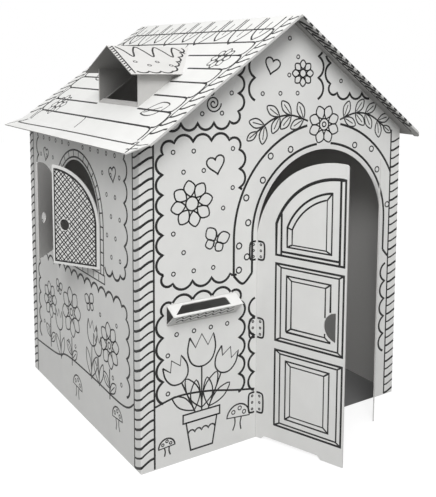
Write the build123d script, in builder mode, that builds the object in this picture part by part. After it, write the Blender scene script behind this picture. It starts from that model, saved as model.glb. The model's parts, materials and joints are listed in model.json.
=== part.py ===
"""Cardboard playhouse: a folded wall sheet with two gables under a folded roof with a dormer.

Millimetres. The origin is the middle of the footprint on the floor, +X runs along the front wall
to the right, +Y to the back and +Z up.
"""

from build123d import *

import math
import os

# Driving dimensions: the board and its cuts
board = 3.0
crease_gap = 0.4
fold_radius = 4.0
cut_margin = 5.0

# The walls
house_width = 900.0
house_depth = 850.0
eave_height = 868.0
roof_pitch = 36.1
score_width = 2.4
score_depth = 0.8
flap_width = 45.0
flap_inset = 20.0
seam_width = 0.6
seam_depth = 2.0

# The main roof
roof_front_overhang = 68.0
roof_rear_overhang = 63.0
roof_right_overhang = 26.0
roof_corner_radius = 20.0
eave_strip_run = 66.0
eave_strip_pitch = 16.6
eave_strip_taper = 14.0
hem_ridge_width = 53.0
hem_eave_width = 32.0

# The doorway and its two leaves
doorway_centre_share = 0.3089
doorway_width = 464.0
doorway_head_drop = 48.0
door_meeting_gap = 6.0
door_floor_gap = 1.5
door_left_share = 0.6288
door_left_angle = 70.8
door_right_angle = 46.3
door_crown_gap = 6.0
door_haunch_rise = 10.0
door_crown_inset = 33.0
door_corner_radius = 8.0
door_skirt_lift = 10.0
door_skirt_ramp = 12.0
door_hinge_foot = 19.0
door_free_foot = 68.0
pull_inset = 30.0
pull_depth = 36.0
pull_height = 81.0
pull_centre = 378.0

# The side window and its two shutters
window_width = 334.0
window_height = 296.0
window_head_drop = 90.0
shutter_meeting_gap = 8.0
shutter_front_angle = 30.0
shutter_rear_angle = 39.5
shutter_sill_gap = 4.0
shutter_crown_gap = 5.0
shutter_haunch_rise = 3.0
shutter_corner_radius = 3.0
finger_radius = 16.5
finger_inset = 42.0
finger_rise = 120.0

# The letterbox
letterbox_left_share = 0.8311
letterbox_width_share = 0.2344
letterbox_sill = 383.0
letterbox_opening = 57.0
letterbox_reach = 40.0
letterbox_tip_rise = 35.0
letterbox_flange = 25.0
letterbox_side_gap = 0.5
slot_left_inset = 10.0
slot_left_lean = 31.0
slot_right_inset = 36.0
slot_tip_inset = 8.0
slot_wall_inset = 6.5
slot_corner_radius = 7.0

# The dormer
dormer_centre = -82.5
dormer_width = 273.0
dormer_setback = 96.0
dormer_sill_depth = 13.0
dormer_well_depth = 108.0
dormer_ridge_rise = 170.0
dormer_roof_half = 161.5
dormer_roof_rise = 78.0
dormer_roof_overhang = 31.0

# Sizes that follow from them
slope = math.tan(math.radians(roof_pitch))
half_width = house_width / 2
front_face = -house_depth / 2
back_face = house_depth / 2
apex_height = eave_height + half_width * slope
roof_lift = board / math.cos(math.radians(roof_pitch))
ridge_top = apex_height + roof_lift
doorway_centre = half_width * doorway_centre_share
doorway_height = eave_height - doorway_head_drop
doorway_radius = doorway_width / 2
doorway_spring = doorway_height - doorway_radius
doorway_left = doorway_centre - doorway_radius
doorway_right = doorway_centre + doorway_radius
door_leaves_width = doorway_width - door_meeting_gap
door_left_width = door_leaves_width * door_left_share
door_right_width = door_leaves_width - door_left_width
door_crown = doorway_height - door_crown_gap
window_sill = eave_height - window_head_drop - window_height
window_radius = window_width / 2
window_spring = window_sill + window_height - window_radius
shutter_width = (window_width - shutter_meeting_gap) / 2
letterbox_left = -half_width * letterbox_left_share
letterbox_width = house_width * letterbox_width_share
letterbox_middle = letterbox_left + letterbox_width / 2
dormer_side = dormer_width / 2
dormer_slope = dormer_roof_rise / dormer_roof_half
dormer_lift = board * math.hypot(1, dormer_slope)


def across(y):
    """Upright plane across the house at depth y, seen from the front: local x is X, local y is Z."""
    return Plane(origin=(0, y, 0), x_dir=(1, 0, 0), z_dir=(0, -1, 0))


def along(x):
    """Upright plane along the house at x: local x is Y, local y is Z, and it faces +X."""
    return Plane(origin=(x, 0, 0), x_dir=(0, 1, 0), z_dir=(1, 0, 0))


def side_plane(x):
    """Plane of the left wall seen from outside: local x runs to the front, local y is Z."""
    return Plane(origin=(x, 0, 0), x_dir=(0, -1, 0), z_dir=(-1, 0, 0))


def folded(spine, thickness):
    """Corners of a sheet on the left of its spine, with a mitre at each fold."""
    points = [Vector(*point) for point in spine]
    normals = [(b - a).normalized().rotate(Axis.Z, 90) for a, b in zip(points, points[1:])]
    corners = [points[0] + normals[0] * thickness]
    for point, before, after in zip(points[1:], normals, normals[1:]):
        bisector = (before + after).normalized()
        corners.append(point + bisector * (thickness / bisector.dot(before)))
    corners.append(points[-1] + normals[-1] * thickness)
    return points + corners[::-1]


def arched_opening(centre, bottom, width, height):
    """Face of an opening with straight sides and a half-round head."""
    radius = width / 2
    spring = bottom + height - radius
    left = (centre - radius, spring)
    right = (centre + radius, spring)
    with BuildLine() as outline:
        Polyline(left, (left[0], bottom), (right[0], bottom), right)
        ThreePointArc(right, (centre, spring + radius), left)
    make_face(outline.line)


def leaf_plane(hinge_x, hinge_y, closed, turn, angle):
    """Plane of an open leaf: local x runs from the crease to its free edge, local y is Z."""
    reach = Vector(*closed).rotate(Axis.Z, turn * angle)
    return Plane(origin=(hinge_x, hinge_y, 0), x_dir=reach, z_dir=reach.cross(Vector(0, 0, 1)))


def leaf_face(width, bottom, crown, corner_radius):
    """Face of a leaf: its bottom points, then the free edge, the arched head and the crease edge.

    The head is an arc from the crease edge at crown[1] up to its highest point at crown[0].
    """
    top_u, top_z = crown[0]
    haunch = crown[1]
    rise = top_z - haunch
    reach = top_u - crease_gap
    radius = (reach**2 + rise**2) / (2 * rise)

    def head(u):
        return top_z - radius + math.sqrt(radius**2 - (top_u - u) ** 2)

    with BuildLine() as outline:
        Polyline(*bottom, (width, head(width)))
        ThreePointArc((width, head(width)), (width / 2, head(width / 2)), (crease_gap, haunch))
        Line((crease_gap, haunch), bottom[0])
    make_face(outline.line)
    free_corner = vertices().group_by(Axis.X)[-1].sort_by(Axis.Y)[-1]
    fillet(free_corner, radius=corner_radius)


# One sheet for the four walls and both gables, folded at the corners, with a glue flap inside
with BuildPart() as walls:
    with BuildSketch():
        Rectangle(house_width, house_depth)
    extrude(amount=apex_height)
    folds = walls.edges().filter_by(Axis.Z)
    glued_corner = folds.sort_by(lambda edge: edge.center().X + edge.center().Y)[-1]
    fillet(folds - ShapeList([glued_corner]), radius=fold_radius)
    with BuildSketch():
        Rectangle(house_width - 2 * board, house_depth - 2 * board)
    extrude(amount=apex_height, mode=Mode.SUBTRACT)
    # The flap lies against the inside of the back wall
    flap_height = eave_height - 2 * flap_inset
    with BuildSketch(across(back_face - board)):
        with Locations((half_width - board - flap_width / 2, flap_inset + flap_height / 2)):
            Rectangle(flap_width, flap_height)
    extrude(amount=board)
    with BuildSketch(Plane.XY):
        with Locations((half_width, back_face - board - seam_width / 2)):
            Rectangle(2 * seam_depth, seam_width)
    extrude(amount=apex_height, mode=Mode.SUBTRACT)
    # Both gables follow the roof, and the side walls end on it
    with BuildSketch(across(back_face + cut_margin)):
        far = half_width + cut_margin
        outer = apex_height - far * slope
        above_roof = [
            (-far, outer),
            (0, apex_height),
            (far, outer),
            (far, ridge_top),
            (-far, ridge_top),
        ]
        Polygon(*above_roof, align=None)
    extrude(amount=house_depth + 2 * cut_margin, mode=Mode.SUBTRACT)
    # A scored line crosses each gable level with the eaves
    for gable in (front_face, back_face):
        with BuildSketch(across(gable + score_depth)):
            with Locations((0, eave_height)):
                Rectangle(house_width + 2 * cut_margin, score_width)
        extrude(amount=2 * score_depth, mode=Mode.SUBTRACT)
    # The doorway is open to the floor
    with BuildSketch(across(front_face + board + cut_margin)):
        arched_opening(doorway_centre, -cut_margin, doorway_width, doorway_height + cut_margin)
    extrude(amount=board + 2 * cut_margin, mode=Mode.SUBTRACT)
    with BuildSketch(side_plane(-half_width + board + cut_margin)):
        arched_opening(0, window_sill, window_width, window_height)
    extrude(amount=board + 2 * cut_margin, mode=Mode.SUBTRACT)
    with BuildSketch(across(front_face + board + cut_margin)):
        with Locations((letterbox_middle, letterbox_sill + letterbox_opening / 2)):
            Rectangle(letterbox_width + 2 * letterbox_side_gap, letterbox_opening)
    extrude(amount=board + 2 * cut_margin, mode=Mode.SUBTRACT)
walls.part.label = "walls"

# The main roof: one sheet bent at the ridge and over the left wall, its rakes folded under
roof_left = -half_width - eave_strip_run
roof_right = half_width + roof_right_overhang
roof_front = front_face - roof_front_overhang
roof_rear = back_face + roof_rear_overhang
roof_right_height = apex_height - roof_right * slope
strip_drop = eave_strip_run * math.tan(math.radians(eave_strip_pitch))
dormer_front = -half_width + dormer_setback
dormer_sill_back = dormer_front + dormer_sill_depth
with BuildPart() as roof_sheet:
    # The double board of both slopes, kept at the rakes alone as their hems
    with BuildSketch(across(roof_rear)):
        hem_underside = [
            (-half_width, eave_height - roof_lift),
            (0, apex_height - roof_lift),
            (roof_right, roof_right_height - roof_lift),
        ]
        Polygon(*folded(hem_underside, 2 * board), align=None)
    extrude(amount=roof_rear - roof_front)
    with BuildSketch():
        rakes = [
            (-half_width - cut_margin, hem_eave_width),
            (0, hem_ridge_width),
            (roof_right + cut_margin, hem_eave_width),
        ]
        front_edge = [(x, roof_front + width) for x, width in rakes]
        rear_edge = [(x, roof_rear - width) for x, width in rakes]
        Polygon(*front_edge, *rear_edge[::-1], align=None)
    extrude(amount=ridge_top + cut_margin, mode=Mode.SUBTRACT)
    with BuildSketch(across(roof_rear)):
        underside = [
            (roof_left, eave_height - strip_drop),
            (-half_width, eave_height),
            (0, apex_height),
            (roof_right, roof_right_height),
        ]
        Polygon(*folded(underside, board), align=None)
    extrude(amount=roof_rear - roof_front)
    # Plan of the sheet: round right corners, and an eave strip that tapers in at the back
    with BuildSketch():
        plan = [
            (roof_left - cut_margin, roof_front),
            (roof_right, roof_front),
            (roof_right, roof_rear),
            (-half_width, roof_rear),
            (roof_left - cut_margin, roof_rear - eave_strip_taper),
        ]
        Polygon(*plan, align=None)
        fillet(vertices().group_by(Axis.X)[-1], radius=roof_corner_radius)
    extrude(amount=ridge_top + cut_margin, mode=Mode.INTERSECT)
    ridge = edges().filter_by(Axis.Y).sort_by(Axis.Z)[-1]
    fillet(ridge, radius=fold_radius)
    with BuildSketch():
        with Locations((dormer_sill_back + dormer_well_depth / 2, dormer_centre)):
            Rectangle(dormer_well_depth, dormer_width - 2 * board)
    extrude(amount=ridge_top, mode=Mode.SUBTRACT)
roof_sheet.part.label = "roof_sheet"


def roof_surface(x):
    """Height of the left slope's upper face at x."""
    return ridge_top + x * slope


# The dormer's body: one sheet folded to two cheeks and a sill that lies on the left slope
body_top = roof_surface(dormer_front) + dormer_ridge_rise
body_back = (body_top - ridge_top) / slope
dormer_underside = body_top - dormer_lift
dormer_shoulder = dormer_underside - dormer_roof_rise
with BuildPart() as dormer_body:
    with BuildSketch(across(dormer_centre + dormer_side)):
        cheek = [
            (dormer_front, roof_surface(dormer_front)),
            (dormer_front, body_top),
            (body_back, body_top),
        ]
        Polygon(*cheek, align=None)
    extrude(amount=dormer_width)
    with BuildSketch(across(dormer_centre + dormer_side - board)):
        hollow = [
            (dormer_front - cut_margin, roof_surface(dormer_front - cut_margin) + roof_lift),
            (dormer_sill_back, roof_surface(dormer_sill_back) + roof_lift),
            (dormer_sill_back, roof_surface(dormer_sill_back) - cut_margin),
            (body_back + cut_margin, body_top),
            (body_back + cut_margin, body_top + cut_margin),
            (dormer_front - cut_margin, body_top + cut_margin),
        ]
        Polygon(*hollow, align=None)
    extrude(amount=dormer_width - 2 * board, mode=Mode.SUBTRACT)
    # The cheeks end under the dormer's roof
    with BuildSketch(along(dormer_front - cut_margin)):
        above_body = [
            (dormer_centre - dormer_roof_half, dormer_shoulder),
            (dormer_centre, dormer_underside),
            (dormer_centre + dormer_roof_half, dormer_shoulder),
            (dormer_centre + dormer_roof_half, body_top + cut_margin),
            (dormer_centre - dormer_roof_half, body_top + cut_margin),
        ]
        Polygon(*above_body, align=None)
    extrude(amount=body_back - dormer_front + 2 * cut_margin, mode=Mode.SUBTRACT)
dormer_body.part.label = "dormer_body"

# The dormer's roof: one sheet folded at its ridge, its back edges lying on the left slope
with BuildPart() as dormer_roof:
    with BuildSketch(along(dormer_front - dormer_roof_overhang)):
        spine = [
            (dormer_centre - dormer_roof_half, dormer_shoulder),
            (dormer_centre, dormer_underside),
            (dormer_centre + dormer_roof_half, dormer_shoulder),
        ]
        Polygon(*folded(spine, board), align=None)
    extrude(amount=body_back - dormer_front + dormer_roof_overhang + cut_margin)
    pitch = math.radians(roof_pitch)
    left_slope = Plane(origin=(0, 0, ridge_top), z_dir=(-math.sin(pitch), 0, math.cos(pitch)))
    split(bisect_by=left_slope, keep=Keep.TOP)
dormer_roof.part.label = "dormer_roof"

# The letterbox: one strip folded out through its hole to a point, with a flange above and below
inner_face = front_face + board
flange_top = letterbox_sill + letterbox_opening + letterbox_flange
tip = (front_face - letterbox_reach, letterbox_sill + letterbox_tip_rise)
top_run = inner_face - tip[0]
top_rise = letterbox_sill + letterbox_opening - tip[1]
with BuildPart() as letterbox:
    with BuildSketch(along(letterbox_left)):
        strip = [
            (inner_face, flange_top),
            (inner_face, letterbox_sill + letterbox_opening),
            tip,
            (inner_face, letterbox_sill),
            (inner_face, letterbox_sill - letterbox_flange),
        ]
        Polygon(*folded(strip, board), align=None)
    extrude(amount=letterbox_width)
    # The slot takes up most of the upper panel, and its left end leans in towards the wall
    upper_panel = Plane(
        origin=(letterbox_left, tip[0], tip[1]), x_dir=(1, 0, 0), z_dir=(0, -top_rise, top_run)
    )
    with BuildSketch(upper_panel):
        slot_right = letterbox_width - slot_right_inset
        slot_far = math.hypot(top_run, top_rise) * letterbox_reach / top_run - slot_wall_inset
        with BuildLine():
            Polyline(
                (slot_left_inset, slot_tip_inset),
                (slot_right, slot_tip_inset),
                (slot_right, slot_far),
                (slot_left_inset + slot_left_lean, slot_far),
                close=True,
            )
        make_face()
        fillet(vertices().group_by(Axis.Y)[-1], radius=slot_corner_radius)
    extrude(amount=board + crease_gap, both=True, mode=Mode.SUBTRACT)
letterbox.part.label = "letterbox"

# The leaves of the doorway hang from creases at its jambs, each with half a hand hole
door_sizes = {
    "door_left": (doorway_left, (1, 0, 0), -1, door_left_angle, door_left_width),
    "door_right": (doorway_right, (-1, 0, 0), 1, door_right_angle, door_right_width),
}
doors = []
for name, (hinge, closed, turn, angle, width) in door_sizes.items():
    skirt_start = door_hinge_foot + door_skirt_ramp
    skirt_end = width - door_free_foot - door_skirt_ramp
    skirt = door_floor_gap + door_skirt_lift
    bottom = [
        (crease_gap, door_floor_gap),
        (door_hinge_foot, door_floor_gap),
        (skirt_start, skirt),
        (skirt_end, skirt),
        (width - door_free_foot, door_floor_gap),
        (width, door_floor_gap),
    ]
    crown_reach = max(width - door_crown_inset, doorway_radius)
    with BuildPart() as door:
        with BuildSketch(leaf_plane(hinge, front_face, closed, turn, angle)):
            crown = ((crown_reach, door_crown), doorway_spring + door_haunch_rise)
            leaf_face(width, bottom, crown, door_corner_radius)
            pull = width - pull_inset
            top = (pull, pull_centre + pull_height / 2)
            low = (pull, pull_centre - pull_height / 2)
            with BuildLine():
                Line(low, top)
                ThreePointArc(top, (pull - pull_depth, pull_centre), low)
            make_face(mode=Mode.SUBTRACT)
        extrude(amount=turn * board)
    door.part.label = name
    doors.append(door)

# The shutters of the side window, each with a finger hole
shutter_sizes = {
    "shutter_front": (-window_radius, (0, 1, 0), 1, shutter_front_angle),
    "shutter_rear": (window_radius, (0, -1, 0), -1, shutter_rear_angle),
}
shutters = []
for name, (hinge, closed, turn, angle) in shutter_sizes.items():
    sill = window_sill + shutter_sill_gap
    bottom = [(crease_gap, sill), (shutter_width, sill)]
    crown_height = window_sill + window_height - shutter_crown_gap
    with BuildPart() as shutter:
        with BuildSketch(leaf_plane(-half_width, hinge, closed, turn, angle)):
            crown = ((window_radius, crown_height), window_spring + shutter_haunch_rise)
            leaf_face(shutter_width, bottom, crown, shutter_corner_radius)
            with Locations((shutter_width - finger_inset, window_sill + finger_rise)):
                Circle(finger_radius, mode=Mode.SUBTRACT)
        extrude(amount=turn * board)
    shutter.part.label = name
    shutters.append(shutter)

os.makedirs("parts", exist_ok=True)
for piece in (walls, roof_sheet, dormer_body, dormer_roof, letterbox, *doors, *shutters):
    export_step(piece.part, f"parts/{piece.part.label}.step")
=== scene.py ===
import json
import logging
import math
from collections.abc import Callable, Sequence
from dataclasses import dataclass, field
from enum import Enum

import bmesh
import bpy
from mathutils import Matrix, Vector

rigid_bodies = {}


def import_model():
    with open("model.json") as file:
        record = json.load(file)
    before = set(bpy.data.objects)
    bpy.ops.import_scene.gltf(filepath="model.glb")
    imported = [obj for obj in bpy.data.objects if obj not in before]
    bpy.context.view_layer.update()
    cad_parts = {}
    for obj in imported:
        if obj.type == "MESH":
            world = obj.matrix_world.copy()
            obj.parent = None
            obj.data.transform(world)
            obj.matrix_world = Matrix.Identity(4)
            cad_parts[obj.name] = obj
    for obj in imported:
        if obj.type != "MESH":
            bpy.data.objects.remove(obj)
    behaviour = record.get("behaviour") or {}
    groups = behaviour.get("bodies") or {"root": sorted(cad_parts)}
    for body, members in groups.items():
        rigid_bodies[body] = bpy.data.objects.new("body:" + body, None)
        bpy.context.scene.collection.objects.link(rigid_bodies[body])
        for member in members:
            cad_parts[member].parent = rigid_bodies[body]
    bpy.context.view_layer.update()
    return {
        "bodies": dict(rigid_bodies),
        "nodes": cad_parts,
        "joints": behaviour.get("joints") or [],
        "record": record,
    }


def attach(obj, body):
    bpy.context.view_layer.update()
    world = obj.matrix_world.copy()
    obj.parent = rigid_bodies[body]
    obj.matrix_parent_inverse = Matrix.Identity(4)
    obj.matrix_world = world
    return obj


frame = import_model()

log = logging.getLogger("playhouse")
MM = 0.001

Point = tuple[float, float]
Keep = Callable[[Point], bool]

# The house as the solids have it, in millimetres
HALF_WIDTH = 450.0
HALF_DEPTH = 425.0
EAVE_HEIGHT = 868.0
SLOPE = math.tan(math.radians(36.1))
SLOPE_COSINE, SLOPE_SINE = math.cos(math.atan(SLOPE)), math.sin(math.atan(SLOPE))
APEX_HEIGHT = EAVE_HEIGHT + HALF_WIDTH * SLOPE
RIDGE_TOP = 1199.85
DORMER_MIDDLE = -82.5
# Middle, spring height and radius of the two arched openings
DOORWAY = (139.0, 588.0, 232.0)
WINDOW = (0.0, 611.0, 167.0)
WINDOW_SILL = 482.0
# Foot and top of the hinge plates printed across the doors' creases
HINGE_PLATES = ((523.0, 574.0), (299.0, 354.0), (78.0, 136.0))
# Inner edge of the hems' white face: its middle on Y, its distance from there at the ridge, how
# much that grows per millimetre towards the eaves, and the white liner's share in that face, held
# down towards grey as painted shade
HEM_MIDDLE = -2.5
HEM_EDGE = 452.0
HEM_TAPER = 0.0317
HEM_WHITE_IN_PAINTED_SHADE = 0.45
# Height of a printed line's middle above the board, as a share of the line's width
INK_RISE = 0.02


def linear(colour: str) -> tuple[float, float, float, float]:
    """Turns an sRGB hex colour into linear light.

    Args:
        colour: Six hex digits after a hash.

    Returns:
        Red, green, blue and alpha, as a shader socket takes them.
    """
    parts = [int(colour[i : i + 2], 16) / 255 for i in (1, 3, 5)]
    red, green, blue = (
        part / 12.92 if part <= 0.04045 else ((part + 0.055) / 1.055) ** 2.4 for part in parts
    )
    return red, green, blue, 1.0


def add_node(
    tree: bpy.types.NodeTree,
    kind: str,
    settings: dict[str, object] | None = None,
    inputs: dict[int | str, object] | None = None,
) -> bpy.types.Node:
    """Adds a node with its settings, its constants and its links.

    Args:
        tree: The tree that the node goes into.
        kind: The node's type name.
        settings: Properties of the node itself.
        inputs: A constant, or the output socket to link from, for each input by name or place.

    Returns:
        The new node.
    """
    node = tree.nodes.new(kind)
    for name, value in (settings or {}).items():
        setattr(node, name, value)
    for key, value in (inputs or {}).items():
        if isinstance(value, bpy.types.NodeSocket):
            tree.links.new(value, node.inputs[key])
        else:
            node.inputs[key].default_value = value
    return node


def mixed(a: Point, b: Point, share: float) -> Point:
    """Point at a share of the way from a to b."""
    return a[0] + (b[0] - a[0]) * share, a[1] + (b[1] - a[1]) * share


def polar(centre: Point, radius: float, angle: float) -> Point:
    """Point at a radius and an angle in degrees, from the centre."""
    turn = math.radians(angle)
    return centre[0] + radius * math.cos(turn), centre[1] + radius * math.sin(turn)


def arc(centre: Point, radius: float, start: float, end: float, step: float = 7.0) -> list[Point]:
    """Draws an arc.

    Args:
        centre: Its centre.
        radius: Its radius.
        start: Its first angle, in degrees.
        end: Its last angle, in degrees.
        step: The longest run between two of its points.

    Returns:
        Its points in order.
    """
    count = max(5, math.ceil(abs(math.radians(end - start)) * radius / step))
    return [polar(centre, radius, start + (end - start) * i / count) for i in range(count + 1)]


def circle(centre: Point, radius: float, step: float = 7.0) -> list[Point]:
    """Draws a whole circle, without its first point a second time."""
    return arc(centre, radius, 0.0, 360.0, step)[:-1]


def bulge(a: Point, b: Point, rise: float) -> list[Point]:
    """Draws one arc from a to b that rises on the left of its direction, without its end.

    Args:
        a: Where it starts.
        b: Where it ends.
        rise: How far its middle stands out.

    Returns:
        Its points in order.
    """
    half = math.dist(a, b) / 2
    radius = (half**2 + rise**2) / (2 * rise)
    opening = math.asin(min(1.0, half / radius))
    if rise > radius:
        opening = math.pi - opening
    heading = math.atan2(b[1] - a[1], b[0] - a[0])
    middle = mixed(a, b, 0.5)
    side = heading + math.pi / 2
    centre = (
        middle[0] + (rise - radius) * math.cos(side),
        middle[1] + (rise - radius) * math.sin(side),
    )
    first, last = math.degrees(side + opening), math.degrees(side - opening)
    return arc(centre, radius, first, last)[:-1]


def scalloped(corners: Sequence[Point], pitch: float, rise: float, closed: bool = False) -> list[Point]:
    """Draws a scalloped border along a path.

    Args:
        corners: The path's corners, where two scallops meet. The scallops rise on its left.
        pitch: The width of a scallop, fitted so that a whole number takes up each side.
        rise: How far a scallop stands out.
        closed: Whether the path returns to its first corner.

    Returns:
        The border's points in order.
    """
    path = list(corners) + ([corners[0]] if closed else [])
    points: list[Point] = []
    for a, b in zip(path, path[1:]):
        count = max(1, round(math.dist(a, b) / pitch))
        for i in range(count):
            points += bulge(mixed(a, b, i / count), mixed(a, b, (i + 1) / count), rise)
    return points if closed else points + [path[-1]]


def smooth(knots: Sequence[Point], parts: int = 6) -> list[Point]:
    """Draws a smooth line through the knots, each run of it in so many parts.

    Args:
        knots: The points that it goes through.
        parts: How many runs are drawn between two knots.

    Returns:
        The line's points in order.
    """
    ends = [knots[0], *knots, knots[-1]]
    points: list[Point] = []
    for before, a, b, after in zip(ends, ends[1:], ends[2:], ends[3:]):
        for i in range(parts):
            t = i / parts
            x, y = (
                0.5
                * (
                    2 * a[k]
                    + (b[k] - before[k]) * t
                    + (2 * before[k] - 5 * a[k] + 4 * b[k] - after[k]) * t**2
                    + (3 * a[k] - before[k] - 3 * b[k] + after[k]) * t**3
                )
                for k in (0, 1)
            )
            points.append((x, y))
    return points + [knots[-1]]


def box(left: float, bottom: float, right: float, top: float) -> list[Point]:
    """Corners of an upright rectangle."""
    return [(left, bottom), (left, top), (right, top), (right, bottom)]


def kept_runs(
    points: Sequence[Point], keep: Keep, step: float = 4.0, halvings: int = 6
) -> list[list[Point]]:
    """Cuts a line down to its runs on the board.

    Args:
        points: The line's points.
        keep: Says whether a point is on the board.
        step: How finely the line is tried. A run no longer than this is left out.
        halvings: How often a step is halved to find the place of a cut.

    Returns:
        The runs that are kept, each with its own ends.
    """
    runs: list[list[Point]] = []
    inside = keep(points[0])
    run = [points[0]] if inside else []
    for a, b in zip(points, points[1:]):
        count = max(1, math.ceil(math.dist(a, b) / step))
        for i in range(1, count + 1):
            if keep(mixed(a, b, i / count)) == inside:
                continue
            low, high = (i - 1) / count, i / count
            for _ in range(halvings):
                middle = (low + high) / 2
                low, high = (middle, high) if keep(mixed(a, b, middle)) == inside else (low, middle)
            run.append(mixed(a, b, (low + high) / 2))
            if inside:
                runs.append(run)
                run = []
            inside = not inside
        if inside:
            run.append(b)
    if len(run) > 1:
        runs.append(run)
    return [run for run in runs if sum(map(math.dist, run, run[1:])) > step]


@dataclass(frozen=True)
class Stroke:
    """One printed line."""

    points: tuple[Point, ...]
    width: float
    closed: bool = False


def petal(tip: float, half: float, root: float = 0.0) -> list[Point]:
    """Draws a loop that points along +X, such as a petal or a leaf."""
    shape = ((0.0, 0.0), (0.3, 0.8), (0.65, 1.0), (1.0, 0.0), (0.65, -1.0), (0.3, -0.8), (0.0, 0.0))
    return smooth([(root + (tip - root) * along, half * across) for along, across in shape], 3)


def turned(points: Sequence[Point], angle: float, shift: Point = (0.0, 0.0)) -> list[Point]:
    """Turns points about the origin by an angle in degrees, then shifts them."""
    cosine, sine = math.cos(math.radians(angle)), math.sin(math.radians(angle))
    return [(x * cosine - y * sine + shift[0], x * sine + y * cosine + shift[1]) for x, y in points]


def daisy() -> list[Stroke]:
    """Flower of eight petals, 50 mm in radius.

    Returns:
        Its lines.
    """
    petals, eye_radius, line = 8, 15.0, 4.2
    loop = petal(50.0, 13.0, eye_radius)
    strokes = [Stroke(tuple(turned(loop, 360.0 / petals * i)), line) for i in range(petals)]
    return strokes + [Stroke(tuple(circle((0, 0), eye_radius)), line, True)]


def tulip() -> list[Stroke]:
    """Tulip on a stem with two leaves, 100 mm tall from its foot.

    Returns:
        Its lines.
    """
    line, leaf_line = 4.4, 3.8
    cup = smooth([(-17, 98), (-20, 80), (-14, 64), (0, 58), (14, 64), (20, 80), (17, 98)], 4)
    teeth = [(9.0, 84.0), (0.0, 100.0), (-9.0, 84.0), (-17.0, 98.0)]
    leaves = [turned(petal(48.0, 8.0), angle, (0.0, 4.0)) for angle in (62.0, 118.0)]
    strokes = [Stroke(tuple(cup + teeth), line), Stroke(((0.0, 0.0), (0.0, 58.0)), line)]
    return strokes + [Stroke(tuple(leaf), leaf_line) for leaf in leaves]


def leaf() -> list[Stroke]:
    """Pointed leaf with a midrib, 50 mm long from its root."""
    line, rib_line = 4.0, 3.0
    return [Stroke(tuple(petal(50.0, 12.0)), line), Stroke(((6.0, 0.0), (38.0, 0.0)), rib_line)]


def heart() -> list[Stroke]:
    """Plain heart, 50 mm across.

    Returns:
        Its lines.
    """
    steps, line = 28, 4.6
    turns = [math.tau * i / steps for i in range(steps)]
    points = [
        (
            25 * math.sin(t) ** 3,
            21 * math.cos(t) - 8 * math.cos(2 * t) - 3 * math.cos(3 * t) - math.cos(4 * t),
        )
        for t in turns
    ]
    return [Stroke(tuple(points), line, True)]


def swirl() -> list[Stroke]:
    """Spiral of two turns, 30 mm in radius.

    Returns:
        Its lines.
    """
    steps, eye, growth, line = 36, 3, 27, 4.0
    points = [polar((0, 0), eye + growth * i / steps, 20 * i) for i in range(steps + 1)]
    return [Stroke(tuple(points), line)]


def butterfly() -> list[Stroke]:
    """Butterfly, 70 mm across.

    Returns:
        Its lines.
    """
    wing_line, feeler_line, body_line = 4.0, 3.0, 3.4
    strokes = []
    for side in (1, -1):
        for tip, half, lean in ((40.0, 14.0, 38.0), (28.0, 11.0, -35.0)):
            wing = turned(petal(tip, half, 3.0), lean)
            strokes.append(Stroke(tuple((side * x, y) for x, y in wing), wing_line))
        feeler = smooth([(0, 12), (5, 22), (12, 26)], 4)
        strokes.append(Stroke(tuple((side * x, y) for x, y in feeler), feeler_line))
    body = [(x, y * 2.6) for x, y in circle((0, 0), 5.0)]
    return strokes + [Stroke(tuple(body), body_line, True)]


def mushroom() -> list[Stroke]:
    """Mushroom with a spotted cap, 60 mm tall from its foot.

    Returns:
        Its lines.
    """
    cap_line, stem_line, spot_line = 4.4, 4.0, 3.0
    cap = arc((0, 30), 30.0, 0, 180)
    stem = [smooth([(side * 9, 30), (side * 7, 15), (side * 11, 0)], 4) for side in (-1, 1)]
    spots = [circle(centre, 4.5, 3.0) for centre in ((-14.0, 42.0), (2.0, 50.0), (15.0, 40.0))]
    strokes = [Stroke(tuple(cap), cap_line, True), *(Stroke(tuple(s), stem_line) for s in stem)]
    return strokes + [Stroke(tuple(spot), spot_line, True) for spot in spots]


def ring(radius: float, line: float) -> list[Stroke]:
    """Small round ring."""
    return [Stroke(tuple(circle((0, 0), radius, radius * 0.7)), line, True)]


def bar(across: float, up: float, line: float) -> list[Stroke]:
    """Short straight bar through the origin, given by its end."""
    return [Stroke(((-across, -up), (across, up)), line)]


def rope_stroke() -> list[Stroke]:
    """Two turns of the rope printed round a corner, 76 mm wide, one heavier than the other.

    Returns:
        Its lines.
    """
    heavy_line, light_line, rise = 6.6, 5.0, 27
    knots = [(-38, -13), (-27, -12), (-14, -7), (-3.3, -2.2), (-1.6, -1.3), (0, -0.4)]
    knots += [(1.6, 0.6), (3.3, 1.6), (14, 8), (26, 14), (38, 16)]
    turn = smooth(knots, 3)
    above = tuple((x, y + rise) for x, y in turn)
    return [Stroke(tuple(turn), heavy_line), Stroke(above, light_line)]


def rake_stroke() -> list[Stroke]:
    """One turn of the rope printed along a roof edge, 60 mm wide."""
    line = 6.8
    return [Stroke(tuple(smooth([(-30, -14), (-18, -13), (0, -3), (16, 9), (30, 12)], 3)), line)]


def hem_stroke() -> list[Stroke]:
    """One turn of the rope where it shows on the hem below, 25 mm wide."""
    line = 10.5
    return [Stroke(tuple(smooth([(-12.5, 14), (-5, 9), (5, -8), (12.5, -14)], 3)), line)]


def shingle() -> list[Stroke]:
    """Leaf-shaped tile that hangs from the ridge, 92 mm wide and 128 mm long.

    Returns:
        Its lines.
    """
    line, rib_line = 6.0, 4.0
    side = smooth([(46, 0), (43, -56), (26, -104), (0, -128)], 5)
    mirrored = [(-x, y) for x, y in side[::-1]]
    rib = ((0.0, -26.0), (0.0, -92.0))
    return [Stroke(tuple(side + mirrored[1:]), line), Stroke(rib, rib_line)]


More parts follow.
